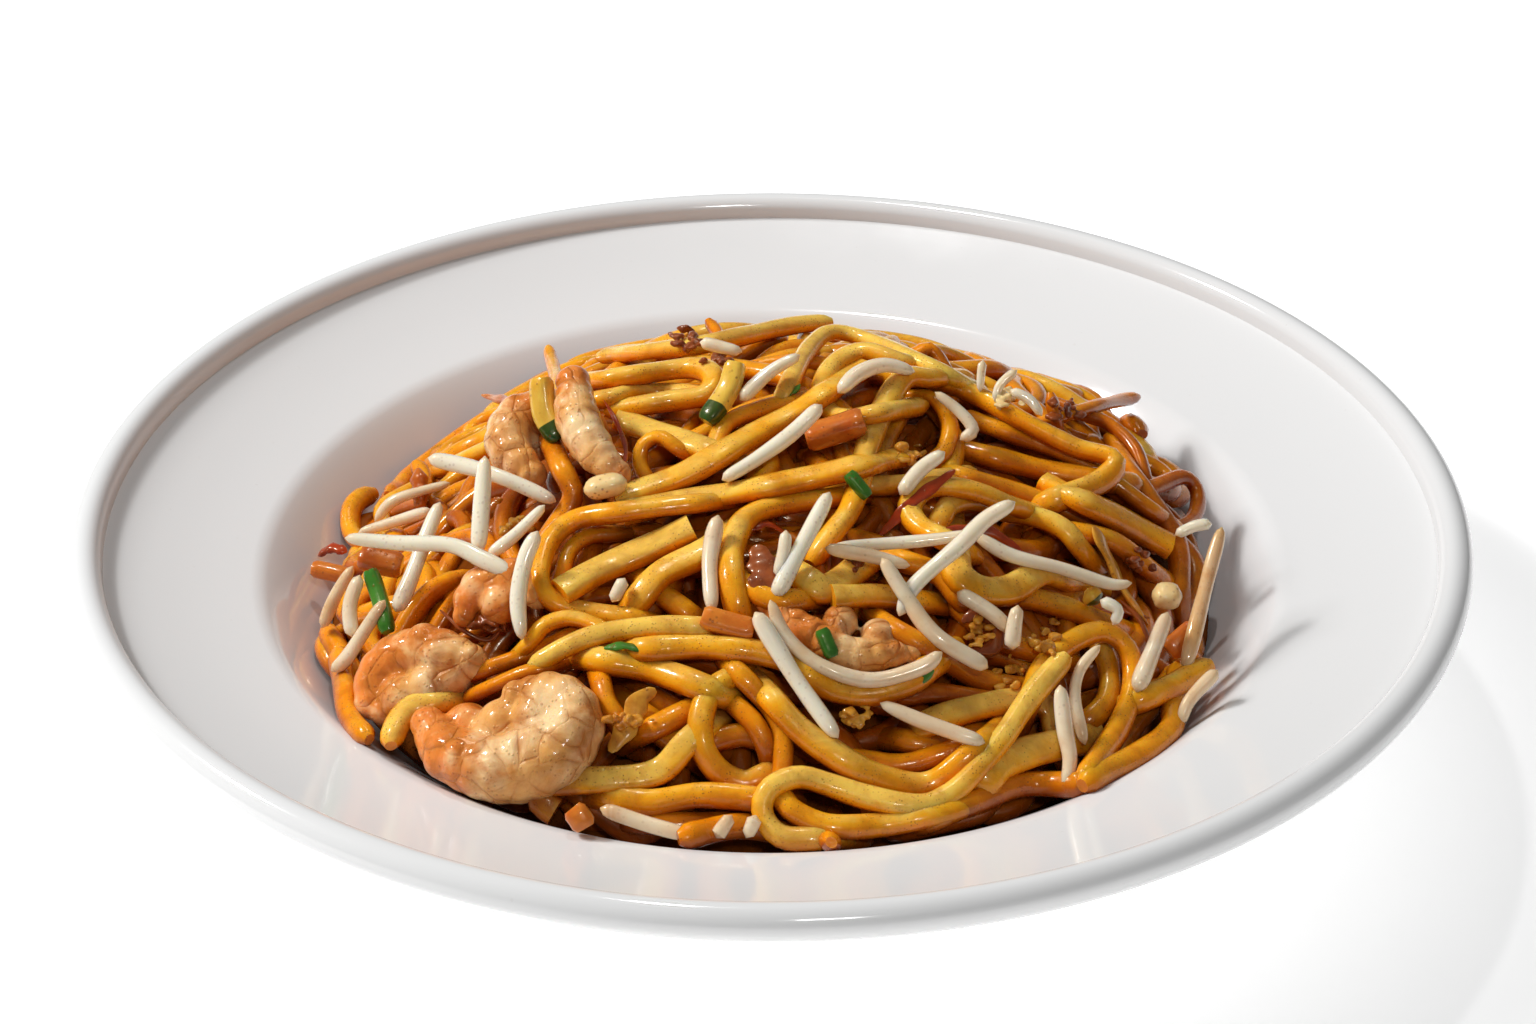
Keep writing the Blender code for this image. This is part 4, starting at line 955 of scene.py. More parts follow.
def lay_edge(surface, draw):
    """Noodles along the foot of the heap, at the back and at the front left."""
    strands = []
    for first in EDGE_STARTS:
        turns = np.radians(np.arange(first, first + draw.uniform(*EDGE_SPAN), EDGE_STEP))
        sway = np.sin(turns * draw.uniform(*EDGE_SWAY_TURN) + draw.uniform(0, FULL_TURN))
        away = draw.uniform(*EDGE_REACH) + EDGE_SWAY * sway
        plan = np.column_stack([away * np.cos(turns), away * np.sin(turns)])
        radius = draw.uniform(*FILL_WIDTH) / 2
        floor = dish_height(plan[:, 0], plan[:, 1]) + radius + DISH_GAP
        lying = field_value(surface.swelled(radius, ROUND_PROFILE[0]), plan[:, 0], plan[:, 1]) - EDGE_PRESS
        lying = np.maximum(run_mean(lying, SETTLING_NEIGHBOURS), lying)
        rise = EDGE_RISE if first < EDGE_FIRST_FRONT else EDGE_RISE_FRONT
        lying = np.minimum(lying, mound_height(plan[:, 0], plan[:, 1]) + rise)
        route = np.column_stack([plan, np.maximum(run_mean(lying, SMOOTHING_NEIGHBOURS), floor)])
        part, widths = finish_under_noodle(surface, draw, route, radius)
        twist = draw.uniform(-FILL_TWIST, FILL_TWIST)
        strands.append((part, widths, twist, {"tone": draw.uniform(*EDGE_TONE)}))
    return strands


def lay_shown(surface, draw):
    """The noodles that show, each on what lies under it."""
    round_strands = []
    flat_strands = []
    for number, (width, tone, pixels) in enumerate(NOODLE_ROUTES):
        flat = number in FLAT_STRIPS
        profile = FLAT_PROFILE if flat else ROUND_PROFILE
        hidden = (number not in OPEN_STARTS, number not in OPEN_ENDS)
        route, radii = lay_seen_piece(surface, pixels, [width / 2, width / 2], profile[0], hidden=hidden)
        inside = np.flatnonzero(np.hypot(route[:, 0], route[:, 1]) < SHOWN_REACH)
        route = route[inside[0]:inside[-1] + 1]
        radii = radii[inside[0]:inside[-1] + 1]
        surface.mark(route, radii, profile[0])
        route = read_evenly(route, NOODLE_STEP)
        widths = uneven_radii(draw, np.full(len(route), width / 2))
        if not flat:
            widths = round_ends(widths)
        most_twist = FLAT_TWIST if flat else ROUND_TWIST
        strand = (route, widths, draw.uniform(-most_twist, most_twist), {"tone": tone})
        (flat_strands if flat else round_strands).append(strand)
        pass_over(draw)
    return round_strands, flat_strands


def put_shade_depth(piece, surface):
    """Store how deep in the heap each corner lies, 0 on top and 1 in a deep crevice, for the painted shade
    in the noodles' crevices.
    """
    places = mesh_places(piece.data)
    wide = surface.top
    for _ in range(DEPTH_ROUNDS):
        wide = sum(np.roll(wide, way * DEPTH_SPREAD, axis) for axis in (0, 1) for way in (1, -1)) / 4
    rows = np.clip(np.round(places[:, 0] + FIELD_HALF).astype(int), 0, 2 * FIELD_HALF)
    columns = np.clip(np.round(places[:, 1] + FIELD_HALF).astype(int), 0, 2 * FIELD_HALF)
    depth = (wide[rows, columns] - places[:, 2]) / CREVICE_SHADE_DEPTH
    put_attribute(piece.data, "depth", np.clip(depth, 0, 1))


def make_noodles(surface, under, draw, noodle_finish):
    """The loose noodles, as three meshes."""
    under = strands_piece("noodles_under", under, *ROUND_PROFILE)
    round_strands, flat_strands = lay_shown(surface, draw)
    shown = strands_piece("noodles_shown", round_strands, *ROUND_PROFILE)
    strips = strands_piece("noodle_strips", flat_strands, *FLAT_PROFILE)
    for piece in (under, shown, strips):
        put_shade_depth(piece, surface)
        settle(piece, noodle_finish, "noodle", "noodles")


def make_plate(porcelain):
    """A disc pushed out ring by ring along the plate's section, then closed under the base."""
    section = plate_section()[1:]
    first_radius, first_height = section[0]
    bpy.ops.object.select_all(action="DESELECT")
    bpy.ops.mesh.primitive_circle_add(
        vertices=PLATE_STEPS, radius=first_radius * MM, fill_type="NGON", location=(0, 0, first_height * MM))
    piece = bpy.context.object
    piece.name = "deep_rimmed_plate"
    bpy.ops.object.transform_apply(location=True, rotation=True, scale=True)
    bpy.ops.object.mode_set(mode="EDIT")
    bpy.ops.mesh.select_mode(type="EDGE")
    bpy.ops.mesh.select_all(action="SELECT")
    bpy.ops.mesh.region_to_loop()
    radius, height = first_radius, first_height
    for next_radius, next_height in section[1:]:
        raised = (0, 0, (next_height - height) * MM)
        bpy.ops.mesh.extrude_edges_move(TRANSFORM_OT_translate={"value": raised})
        share = next_radius / radius
        bpy.ops.transform.resize(value=(share, share, 1.0), center_override=(0, 0, next_height * MM))
        radius, height = next_radius, next_height
    bpy.ops.mesh.edge_face_add()
    turn_faces_outward()
    bpy.ops.object.shade_smooth_by_angle(angle=PLATE_SMOOTH_ANGLE)
    settle(piece, porcelain, "porcelain", "plate")


def make_core(finish):
    """Mass under the noodles that show, sauced and darkened as painted shade of the heap's depths."""
    bpy.ops.object.select_all(action="DESELECT")
    bpy.ops.mesh.primitive_uv_sphere_add(
        segments=CORE_SEGMENTS, ring_count=CORE_SEGMENTS // 2, radius=CORE_RADIUS * MM, location=(0, 0, 0))
    piece = bpy.context.object
    piece.name = "noodle_core"
    places = mesh_places(piece.data)
    x = places[:, 0]
    y = places[:, 1]
    ripples = CORE_RIPPLE * np.sin(x * CORE_RIPPLE_TURNS[0]) * np.cos(y * CORE_RIPPLE_TURNS[1])
    bottom = dish_height(x, y) + CORE_GAP
    top = np.maximum(mound_height(x, y) - CORE_DEPTH + ripples, bottom + CORE_THINNEST)
    places[:, 2] = np.where(places[:, 2] > 0, top, bottom)
    edge = np.hypot(x, y) > CORE_RADIUS - CORE_EDGE
    places[edge, 2] = (top[edge] + bottom[edge]) / 2
    set_mesh_places(piece.data, places)
    bpy.ops.object.shade_smooth()
    settle(piece, finish, "noodle", "noodles")


def add_lump(place, radius):
    """One round lump, to be melted together with others."""
    bpy.ops.object.select_all(action="DESELECT")
    bpy.ops.mesh.primitive_ico_sphere_add(subdivisions=3, radius=radius * MM, location=tuple(place * MM))
    return bpy.context.object


def melt_lumps(name, lumps, voxel):
    """Join the lumps and melt them into one skin."""
    select_only(*lumps)
    bpy.ops.object.join()
    piece = bpy.context.object
    piece.name = name
    bpy.ops.object.transform_apply(location=True, rotation=True, scale=True)
    apply_modifier(piece, "REMESH", mode="VOXEL", voxel_size=voxel * MM)
    return piece


def make_prawns(surface, draw, finish):
    """Each prawn is a row of lumps along its curled body, melted together so that creases stay."""
    frame_surface = Surface(FRAME_CORE_DEPTH)
    for name, leaning, pixels, radii, skins, fillings in PRAWNS:
        route, fine_radii = lay_seen_piece(
            frame_surface, pixels, radii, 1.0, leaning=leaning, **PRAWN_LAYING)
        surface.mark(route, fine_radii, 1.0)
        fine_skins = np.interp(np.linspace(0, 1, len(route)), np.linspace(0, 1, len(skins)), skins)
        stations = read_evenly(np.column_stack([route, fine_radii, fine_skins]), PRAWN_STEP)
        stations[:, 3] *= PRAWN_SLIMMING
        for pixel, radius, skin in fillings:
            reach = meeting_reach(frame_surface.swelled(radius, 1.0), [pixel])
            stations = np.vstack([stations, [*sight_points([pixel], reach)[0], radius, skin]])
        middles = stations[:, :3]
        sizes = stations[:, 3]
        lumps = [add_lump(middle, size) for middle, size in zip(middles, sizes)]
        for middle, size in zip(middles, sizes):
            for _ in range(SIDE_LUMPS):
                aside = np.array([draw.gauss(0, 1) for _ in range(3)])
                aside *= size * SIDE_LUMP_OFFSET / np.linalg.norm(aside)
                lumps.append(add_lump(middle + aside, size * draw.uniform(*SIDE_LUMP_SIZES)))
        piece = melt_lumps(name + "_flesh", lumps, PRAWN_VOXEL)
        apply_modifier(piece, "SMOOTH", factor=0.5, iterations=PRAWN_SMOOTHING)
        away = np.linalg.norm(mesh_places(piece.data)[:, None, :] - middles[None, :, :], axis=2) / sizes
        weight = 1 / np.maximum(away, SKIN_NEAREST) ** SKIN_FALLOFF
        put_attribute(piece.data, "skin", (weight * stations[:, 4]).sum(axis=1) / weight.sum(axis=1))
        select_only(piece)
        bpy.ops.object.shade_smooth()
        settle(piece, finish, "prawn", name)


def make_cut_pieces(surface, finishes):
    """Batons, sticks and nuts: a strand of their own section, with blunt ends."""
    for name, node, kind, leaning, half_width, half_height, pixels in CUT_PIECES:
        flat = half_height / half_width
        route, radii = lay_seen_piece(
            surface, pixels, [half_width, half_width], flat, leaning=leaning, **CUT_LAYING)
        surface.mark(route, radii, flat)
        route = read_evenly(route, FINE_STEP)
        ends = np.linspace(-1, 1, len(route))
        if kind == "peanut" or name == "green_bean_seed":
            widths = half_width * np.sqrt(np.maximum(NUT_TIP, 1 - np.abs(ends) ** NUT_POWER))
        else:
            widths = half_width * (1 - STICK_TAPER * np.abs(ends) ** STICK_POWER)
        skin = np.clip((ends - SKIN_START) * SKIN_SHARPNESS + 0.5, 0, 1)
        piece = strands_piece(name, [(route, widths, 0.0, {"skin": skin})], flat, CUT_SQUARENESS)
        settle(piece, finishes[kind], kind, node)


def make_crumpled_bits(surface, draw, finishes):
    """Clusters of small dented lumps, melted together so that they look torn and fried."""
    for name, kind, size, count, spread, middle in CRUMPLED_BITS:
        lumps = []
        for _ in range(count):
            pixel = [centre + draw.gauss(0, share) * spread for centre, share in zip(middle, BIT_SPREAD)]
            reach = meeting_reach(surface.swelled(size, BIT_FLATNESS), [pixel])
            place = sight_points([pixel], reach + draw.uniform(*BIT_SINKING))[0]
            lump = add_lump(place, size * draw.uniform(*BIT_SIZES))
            stretch = tuple(draw.uniform(*limits) for limits in BIT_STRETCHES)
            select_only(lump)
            bpy.ops.transform.resize(value=stretch, center_override=tuple(place * MM))
            lumps.append(lump)
        piece = melt_lumps(name, lumps, BIT_VOXEL)
        places = mesh_places(piece.data)
        waves = places * BIT_DENT_TURNS
        dents = np.sin(waves[:, 0] + places[:, 2]) * np.sin(waves[:, 1]) * np.sin(waves[:, 2])
        normals = np.empty(len(piece.data.vertices) * 3)
        piece.data.vertices.foreach_get("normal", normals)
        set_mesh_places(piece.data, places + normals.reshape(-1, 3) * dents[:, None] * BIT_DENT)
        select_only(piece)
        bpy.ops.object.shade_smooth()
        settle(piece, finishes[kind], kind if kind == "peanut" else "noodle")


def make_soft_strips(surface, draw, finishes):
    """Thin strips, slimmer towards their ends and wavy in width, the flatter ones twisted along their
    length.
    """
    for name, kind, width, flat, pixels in SOFT_STRIPS:
        route, radii = lay_seen_piece(surface, pixels, [width / 2, width / 2], flat, **STRIP_LAYING)
        surface.mark(route, radii, flat)
        route = read_evenly(route, FINE_STEP)
        ends = np.linspace(-1, 1, len(route))
        wave = 1 + STRIP_WAVE * np.sin(ends * STRIP_WAVE_TURN + draw.uniform(0, 6))
        widths = width / 2 * np.sqrt(np.maximum(STRIP_TIP, 1 - np.abs(ends) ** NUT_POWER)) * wave
        twist = draw.uniform(-STRIP_TWIST, STRIP_TWIST) if flat < THIN_STRIP else 0.0
        piece = strands_piece(name, [(route, widths, twist, {})], flat, STRIP_SQUARENESS)
        settle(piece, finishes[kind], kind if kind in ("scallion", "carrot") else "noodle")


def make_sprouts(surface, draw, finish):
    """All bean sprouts as one mesh, which stands for the frame's larger ones."""
    strands = []
    for leaning, width, stain, pixels in SPROUT_ROUTES:
        radius = width / 2
        route, radii = lay_seen_piece(
            surface, pixels, [radius, radius], 1.0, leaning=leaning, **SPROUT_LAYING)
        surface.mark(route, radii, 1.0)
        route = read_evenly(route, SPROUT_STEP)
        ends = np.linspace(-1, 1, len(route))
        power = SPROUT_END_POWERS[0] if len(route) > LONG_SPROUT else SPROUT_END_POWERS[1]
        tip = np.maximum(np.sqrt(np.maximum(0.0, 1 - np.abs(ends) ** power)), SPROUT_TIP)
        slim = 1 - SPROUT_SLIMMING * (ends * draw.choice((-1, 1)) + 1) / 2
        wave = 1 + SPROUT_WAVE * np.sin(np.arange(len(route)) * SPROUT_WAVE_TURN + draw.uniform(0, 6))
        strands.append((route, radius * tip * slim * wave, 0.0, {"stain": stain}))
        pass_over(draw)
    piece = strands_piece("bean_sprouts", strands, *SPROUT_PROFILE)
    nodes = sorted(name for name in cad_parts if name.startswith("sprout"))
    settle(piece, finish, "bean_sprout", *nodes)


def make_sauce_film(finish):
    """Thin film of sauce on the plate's wall, in front of the heap, with a ragged outer edge."""
    points = []
    for index in range(FILM_STEPS + 1):
        part = index / FILM_STEPS
        angle = math.radians(FILM_TURNS[0] + (FILM_TURNS[1] - FILM_TURNS[0]) * part)
        ragged = sum(height * math.sin(angle * turn + first) for height, turn, first in FILM_RAGGED)
        width = (FILM_WIDTH + ragged) * math.sin(math.pi * part) + FILM_NARROWEST
        for share in FILM_SHARES:
            radius = FILM_INNER + width * share
            x = radius * math.cos(angle)
            y = radius * math.sin(angle)
            lift = FILM_THICKNESS * (1 - share ** 6) + FILM_EDGE_THICKNESS
            points.append((x * MM, y * MM, (float(dish_height(x, y)) + lift) * MM))
    row = len(FILM_SHARES)
    firsts = [step * row + place for step in range(FILM_STEPS) for place in range(row - 1)]
    mesh = bpy.data.meshes.new("sauce_film")
    mesh.from_pydata(points, [], [(first, first + 1, first + row + 1, first + row) for first in firsts])
    piece = bpy.data.objects.new("sauce_film", mesh)
    bpy.context.scene.collection.objects.link(piece)
    select_only(piece)
    bpy.ops.object.mode_set(mode="EDIT")
    turn_faces_outward()
    bpy.ops.object.shade_smooth()
    settle(piece, finish, "noodle")


class Nodes:
    """Short ways to add and join shader nodes in one tree."""

    def __init__(self, tree):
        self.tree = tree
        self.place = self.add("TexCoord").outputs["Object"]

    def add(self, kind, **settings):
        node = self.tree.nodes.new("ShaderNode" + kind)
        for name, value in settings.items():
            setattr(node, name, value)
        return node

    def feed(self, socket, value):
        """Set a socket to a number or a colour, or join an output to it."""
        if isinstance(value, (int, float)):
            socket.default_value = value
        elif isinstance(value, tuple):
            socket.default_value = (*value, 1.0)
        else:
            self.tree.links.new(value, socket)

    def number(self, operation, first, second, clamp=False):
        node = self.add("Math", operation=operation, use_clamp=clamp)
        self.feed(node.inputs[0], first)
        self.feed(node.inputs[1], second)
        return node.outputs[0]

    def swing(self, value, middle, amount):
        """How far the value is over its middle, times an amount."""
        return self.number("MULTIPLY", self.number("SUBTRACT", value, middle), amount)

    def mix(self, share, first, second):
        node = self.add("Mix", data_type="RGBA")
        for index, value in ((0, share), (6, first), (7, second)):
            self.feed(node.inputs[index], value)
        return node.outputs[2]

    def ramp(self, value, stops):
        node = self.add("ValToRGB")
        elements = node.color_ramp.elements
        while len(elements) < len(stops):
            elements.new(0.5)
        for element, (place, colour) in zip(elements, stops):
            element.position = place
            element.color = (*colour, 1.0) if isinstance(colour, tuple) else (colour, colour, colour, 1.0)
        self.feed(node.inputs[0], value)
        return node.outputs[0]

    def rise(self, value, low, high):
        """0 up to the low value and 1 from the high one."""
        return self.ramp(value, [(low, 0.0), (high, 1.0)])

    def noise_node(self, scale, detail=2.0, roughness=0.5, distortion=0.0):
        node = self.add("TexNoise")
        for name, value in (("Vector", self.place), ("Scale", scale), ("Detail", detail),
                            ("Roughness", roughness), ("Distortion", distortion)):
            self.feed(node.inputs[name], value)
        return node

    def noise(self, *settings):
        """Noise in the piece's own space: scale, detail, roughness and distortion."""
        return self.noise_node(*settings).outputs["Fac"]

    def wobbled_place(self, scale, amount):
        """The place, pushed about by a soft noise, so that patterns on it don't run straight."""
        push = self.add("VectorMath", operation="MULTIPLY_ADD")
        self.feed(push.inputs[0], self.noise_node(scale).outputs["Color"])
        push.inputs[1].default_value = (amount, amount, amount)
        self.feed(push.inputs[2], self.place)
        return push.outputs[0]

    def attribute(self, name):
        return self.add("Attribute", attribute_name=name).outputs["Fac"]


def sauce_flecks_group():
    """Dark seasoning flecks and thin sauce stains over a food's colour, with the relief they make."""
    tree = bpy.data.node_groups.new("sauce_flecks", "ShaderNodeTree")
    for name, kind, value in (
            ("Colour", "Color", (0.8, 0.4, 0.05, 1)), ("Sauce", "Color", (0.25, 0.06, 0.01, 1)),
            ("Stain", "Float", 0.3), ("Fleck Size", "Float", 900.0), ("Fleck Strength", "Float", 0.65)):
        socket = tree.interface.new_socket(name, in_out="INPUT", socket_type="NodeSocket" + kind)
        socket.default_value = value
    for name, kind in (("Colour", "Color"), ("Height", "Float")):
        tree.interface.new_socket(name, in_out="OUTPUT", socket_type="NodeSocket" + kind)
    start = tree.nodes.new("NodeGroupInput").outputs
    end = tree.nodes.new("NodeGroupOutput").inputs
    nodes = Nodes(tree)
    flecks = nodes.add("TexVoronoi")
    nodes.feed(flecks.inputs["Vector"], nodes.place)
    nodes.feed(flecks.inputs["Scale"], start["Fleck Size"])
    spot = nodes.ramp(flecks.outputs["Distance"], [(0.0, 1.0), (0.16, 0.9), (0.30, 0.0)])
    fleck = nodes.number("MULTIPLY", spot, nodes.rise(nodes.noise(260.0, 3.0), 0.42, 0.60))
    blotch = nodes.rise(nodes.noise(120.0, 5.0, 0.65, 0.6), 0.42, 0.72)
    stain = nodes.number("MULTIPLY", blotch, start["Stain"], clamp=True)
    stained = nodes.mix(stain, start["Colour"], start["Sauce"])
    share = nodes.number("MULTIPLY", fleck, start["Fleck Strength"])
    nodes.feed(end["Colour"], nodes.mix(share, stained, FLECK_COLOUR))
    lumps = nodes.number("MULTIPLY", nodes.noise(420.0, 3.0, 0.6), 0.6)
    nodes.feed(end["Height"], nodes.number("ADD", lumps, nodes.number("MULTIPLY", fleck, 0.4)))
    return tree


def new_material(name, settings):
    """New material whose shader has these plain values; returns it, its nodes helper and the inputs."""
    material = bpy.data.materials.new(name)
    material.use_nodes = True
    inputs = material.node_tree.nodes["Principled BSDF"].inputs
    for socket, value in settings.items():
        inputs[socket].default_value = value
    return material, Nodes(material.node_tree), inputs


def food_material(name, subsurface, radius, roughness, coat, coat_roughness=0.06, specular=0.5):
    """New material for wet food."""
    return new_material(name, {
        "Subsurface Weight": subsurface, "Subsurface Radius": radius, "Subsurface Scale": 0.003,
        "Roughness": roughness, "Coat Weight": coat, "Coat Roughness": coat_roughness, "Coat IOR": 1.45,
        "Specular IOR Level": specular, "Specular Tint": WARM_GLEAM})


def add_flecks(nodes, inputs, group, colour, sauce, stain, fleck_size=900.0, fleck_strength=0.65):
    """Give the shader this colour under sauce and flecks; returns their height."""
    node = nodes.add("Group", node_tree=group)
    for socket, value in zip(node.inputs, (colour, sauce, stain, fleck_size, fleck_strength)):
        nodes.feed(socket, value)
    nodes.feed(inputs["Base Color"], node.outputs["Colour"])
    return node.outputs["Height"]


def add_bump(nodes, inputs, height, strength, distance):
    """Small relief from a height; the distance is in millimetres."""
    bump = nodes.add("Bump")
    for name, value in (("Strength", strength), ("Distance", distance * MM), ("Height", height)):
        nodes.feed(bump.inputs[name], value)
    nodes.feed(inputs["Normal"], bump.outputs["Normal"])


def noodle_material(flecks):
    """Pale to brown by each noodle's tone, with painted light on faces turned up and painted shade, partly
    sauce, in the heap's crevices.
    """
    material, nodes, inputs = food_material(
        "sauced_noodle", 0.28, (1.0, 0.38, 0.07), 0.34, 0.45, coat_roughness=0.03, specular=0.45)
    broad = nodes.swing(nodes.noise(30.0, 3.0), 0.5, 0.6)
    fine = nodes.swing(nodes.noise(190.0, 4.0), 0.5, 0.5)
    # Painted light and shade: faces turned up are paler, the sides and undersides darker
    facing = nodes.add("SeparateXYZ")
    nodes.feed(facing.inputs[0], nodes.add("NewGeometry").outputs["Normal"])
    upward = nodes.swing(facing.outputs["Z"], 0.55, 0.42)
    top_lit_tone = nodes.number("ADD", nodes.attribute("tone"), nodes.number("ADD", upward, 0.11))
    tone = nodes.number("ADD", top_lit_tone, nodes.number("ADD", broad, fine), clamp=True)
    # Painted shade, partly sauce: the deeper a corner lies in the heap's crevices, the darker
    deep = nodes.number("POWER", nodes.attribute("depth"), 0.9)
    deep = nodes.number("MULTIPLY", deep, 0.92, clamp=True)
    body = nodes.mix(deep, nodes.ramp(tone, NOODLE_TONES), CREVICE_SHADE_COLOUR)
    height = add_flecks(nodes, inputs, flecks, body, NOODLE_SAUCE, 0.55, 1500.0)
    nodes.feed(inputs["Roughness"], nodes.ramp(nodes.noise(300.0, 2.0), [(0.3, 0.15), (0.7, 0.34)]))
    pits = nodes.number("MULTIPLY", nodes.noise(1300.0, 2.0), 0.25)
    add_bump(nodes, inputs, nodes.number("ADD", height, pits), 0.35, 0.4)
    return material


def core_material(flecks):
    """Dull sauce deep in the heap, dark as painted shade of its depths."""
    material, nodes, inputs = food_material(
        "sauce_and_shade_core", 0.0, (1.0, 0.4, 0.1), 0.8, 0.0, coat_roughness=0.3, specular=0.1)
    add_bump(nodes, inputs, add_flecks(nodes, inputs, flecks, CORE_SHADE_COLOUR, CORE_SAUCE, 0.8), 0.8, 1.0)
    return material


def sprout_material(flecks):
    """Pale and wet, with patches of stain and browner ends."""
    material, nodes, inputs = food_material("wet_bean_sprout", 0.6, (1.0, 0.75, 0.5), 0.22, 1.0, 0.04)
    patchy = nodes.swing(nodes.noise(70.0, 3.0), 0.58, 1.3)
    stain = nodes.number("ADD", nodes.attribute("stain"), patchy, clamp=True)
    end = nodes.number("MULTIPLY", nodes.number("POWER", nodes.attribute("end"), 9.0), 0.55)
    body = nodes.mix(end, nodes.mix(stain, SPROUT_CLEAN, SPROUT_STAINED), SPROUT_END)
    sauced = nodes.number("MULTIPLY", nodes.attribute("stain"), 0.9)
    height = add_flecks(nodes, inputs, flecks, body, SPROUT_SAUCE, sauced, fleck_strength=0.25)
    add_bump(nodes, inputs, height, 0.2, 0.25)
    return material


def prawn_material(flecks):
    """Cream flesh that turns into orange shell where the skin attribute says so, with fine creases."""
    material, nodes, inputs = food_material(
        "cooked_prawn", 0.4, (1.0, 0.5, 0.25), 0.3, 0.5, coat_roughness=0.08, specular=0.3)
    cloud = nodes.swing(nodes.noise(120.0, 5.0, 0.6, 0.5), 0.5, 2.0)
    skin = nodes.number("ADD", nodes.attribute("skin"), cloud, clamp=True)
    flesh = nodes.mix(nodes.rise(nodes.noise(90.0, 4.0), 0.38, 0.62), *PRAWN_FLESH)
    shell = nodes.mix(nodes.noise(200.0, 3.0), *PRAWN_SHELL)
    body = nodes.mix(nodes.rise(skin, 0.3, 0.7), flesh, shell)
    crease = nodes.add("TexVoronoi", feature="DISTANCE_TO_EDGE")
    crease.inputs["Scale"].default_value = 150.0
    nodes.feed(crease.inputs["Vector"], nodes.wobbled_place(90.0, 0.006))
    line = nodes.ramp(crease.outputs["Distance"], [(0.0, 1.0), (0.05, 0.5), (0.22, 0.0)])
    broken = nodes.number("MULTIPLY", line, nodes.ramp(nodes.noise(120.0, 2.0), [(0.36, 0.15), (0.56, 1.0)]))
    body = nodes.mix(nodes.number("MULTIPLY", broken, 0.7), body, PRAWN_CREASE)
    height = add_flecks(nodes, inputs, flecks, body, PRAWN_SAUCE, 0.9, 1000.0, 0.35)
    height = nodes.number("SUBTRACT", height, nodes.number("MULTIPLY", broken, 1.6))
    add_bump(nodes, inputs, height, 0.6, 0.6)
    return material


def topping_material(flecks, name, light, dark, stain, subsurface, mottle, skin):
    """Cut vegetable, nut or crumb: two mottled tones under sauce and flecks, and its skin's own colour."""
    material, nodes, inputs = food_material(name, subsurface, (1.0, 0.6, 0.3), 0.3, 0.7)
    body = nodes.mix(nodes.rise(nodes.noise(mottle, 4.0, 0.6), 0.35, 0.65), light, dark)
    if skin:
        body = nodes.mix(nodes.rise(nodes.attribute("skin"), 0.45, 0.55), body, skin)
    add_bump(nodes, inputs, add_flecks(nodes, inputs, flecks, body, TOPPING_SAUCE, stain), 0.4, 0.4)
    return material


def sauce_material():
    """Brown oily sauce, see-through in clouded patches that let the glaze through."""
    material, nodes, inputs = new_material("oily_sauce", {"Roughness": 0.12, "Coat Weight": 0.6})
    cloud = nodes.noise(160.0, 4.0)
    nodes.feed(inputs["Base Color"], nodes.mix(cloud, *FILM_SAUCE))
    nodes.feed(inputs["Alpha"], nodes.ramp(cloud, [(0.35, 0.25), (0.6, 0.85)]))
    add_bump(nodes, inputs, nodes.noise(300.0, 3.0), 0.3, 0.3)
    return material


def porcelain_material():
    """White glaze with faint clouds and a few specks."""
    material, nodes, inputs = new_material(
        "white_glaze", {"IOR": 1.5, "Coat Weight": 0.3, "Coat Roughness": 0.04})
    speck = nodes.number("MULTIPLY", nodes.rise(nodes.noise(900.0, 1.0), 0.76, 0.80), 0.10)
    nodes.feed(inputs["Base Color"], nodes.mix(speck, nodes.mix(nodes.noise(9.0, 3.0), *GLAZE), GLAZE_SPECK))
    nodes.feed(inputs["Roughness"], nodes.ramp(nodes.noise(40.0, 4.0), [(0.3, 0.08), (0.7, 0.14)]))
    add_bump(nodes, inputs, nodes.noise(30.0, 3.0), 0.05, 0.6)
    return material


def floor_material():
    """Pale floor that glows a little, so that the shadow stays soft."""
    material, nodes, inputs = new_material("pale_floor", {
        "Roughness": 0.9, "Emission Color": (1, 1, 1, 1), "Emission Strength": FLOOR_GLOW})
    nodes.feed(inputs["Base Color"], nodes.mix(nodes.noise(3.0, 2.0), *FLOOR_TONES))
    return material


def make_floor():
    """Floor under the plate, on the stage alone."""
    bpy.ops.object.select_all(action="DESELECT")
    bpy.ops.mesh.primitive_plane_add(size=FLOOR_SIZE, location=(0, 0, FLOOR_HEIGHT))
    floor = bpy.context.object
    floor.name = "floor"
    floor.data.materials.append(floor_material())


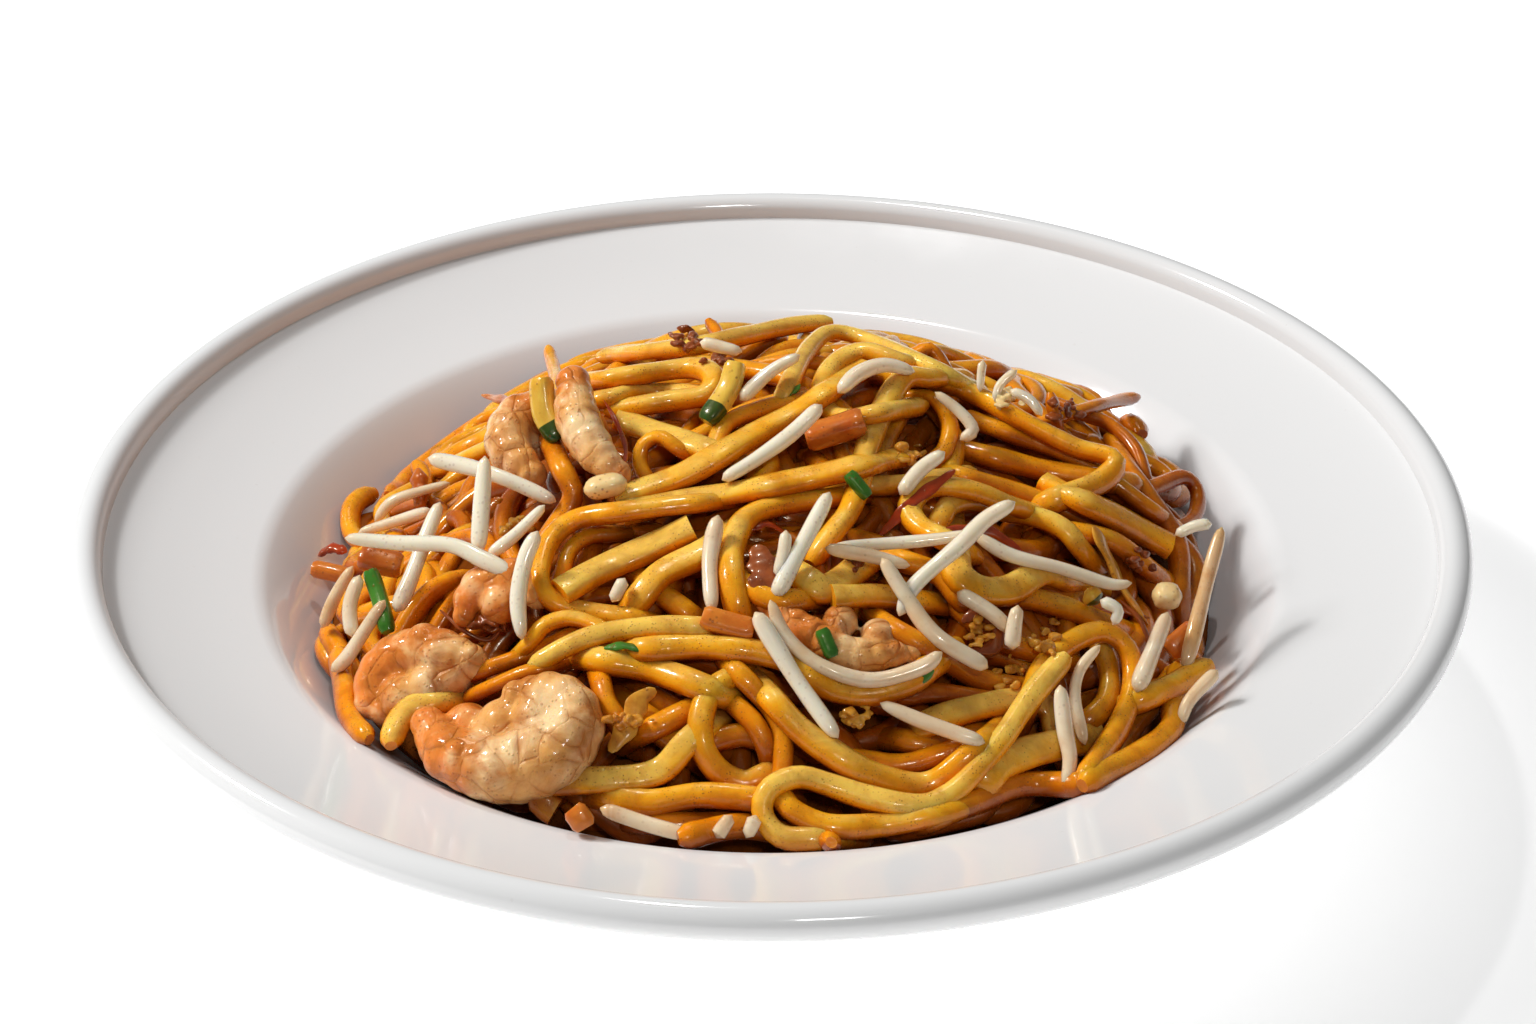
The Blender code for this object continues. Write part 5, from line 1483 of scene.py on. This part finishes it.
def make_lights():
    """Daylight all round and the lights, which all face the plate."""
    world = bpy.data.worlds.new("studio")
    bpy.context.scene.world = world
    world.use_nodes = True
    world.node_tree.nodes["Background"].inputs["Color"].default_value = (1, 1, 1, 1)
    world.node_tree.nodes["Background"].inputs["Strength"].default_value = DAYLIGHT
    for name, place, size, power, mirrored in LIGHTS:
        bpy.ops.object.light_add(type="AREA", location=place)
        light = bpy.context.object
        light.name = name
        light.data.shape = "RECTANGLE"
        light.data.size, light.data.size_y = size
        light.data.energy = power
        light.visible_glossy = mirrored
        away = LIGHT_TARGET - place
        tip = math.atan2(math.hypot(away[0], away[1]), -away[2])
        light.rotation_euler = (tip, 0, math.atan2(-away[0], away[1]))


def make_camera():
    """Camera of the photograph."""
    ahead = view_axes()[2]
    place = (np.array([0.0, 0.0, VIEW_TARGET_HEIGHT]) - ahead * VIEW_DISTANCE) * MM
    bpy.ops.object.camera_add(location=tuple(place), rotation=(math.pi / 2 - VIEW_ELEVATION, 0, 0))
    camera = bpy.context.object
    camera.data.sensor_width = SENSOR_WIDTH
    camera.data.lens = SENSOR_WIDTH * VIEW_FOCAL_PIXELS / PHOTO_WIDTH
    camera.data.shift_x = (PHOTO_WIDTH / 2 - VIEW_CENTRE_PIXEL[0]) / PHOTO_WIDTH
    camera.data.shift_y = (VIEW_CENTRE_PIXEL[1] - PHOTO_HEIGHT / 2) / PHOTO_WIDTH
    camera.data.clip_start = CLIP_START
    bpy.context.scene.camera = camera


def main():
    """Build everything; each piece that is laid raises the surface for the next ones."""
    draw = random.Random(FILL_SEED)
    flecks = sauce_flecks_group()
    finishes = {kind: topping_material(flecks, *values) for kind, values in TOPPING_FINISHES.items()}
    make_plate(porcelain_material())
    make_core(core_material(flecks))
    surface = Surface(CORE_DEPTH)
    under = lay_fill(surface, draw) + lay_edge(surface, random.Random(EDGE_SEED))
    make_prawns(surface, draw, prawn_material(flecks))
    make_noodles(surface, under, draw, noodle_material(flecks))
    make_soft_strips(surface, draw, finishes)
    make_crumpled_bits(surface, draw, finishes)
    make_cut_pieces(surface, finishes)
    make_sprouts(surface, draw, sprout_material(flecks))
    make_sauce_film(sauce_material())
    make_floor()
    make_lights()
    make_camera()
    bpy.context.scene.view_settings.view_transform = "Standard"


main()
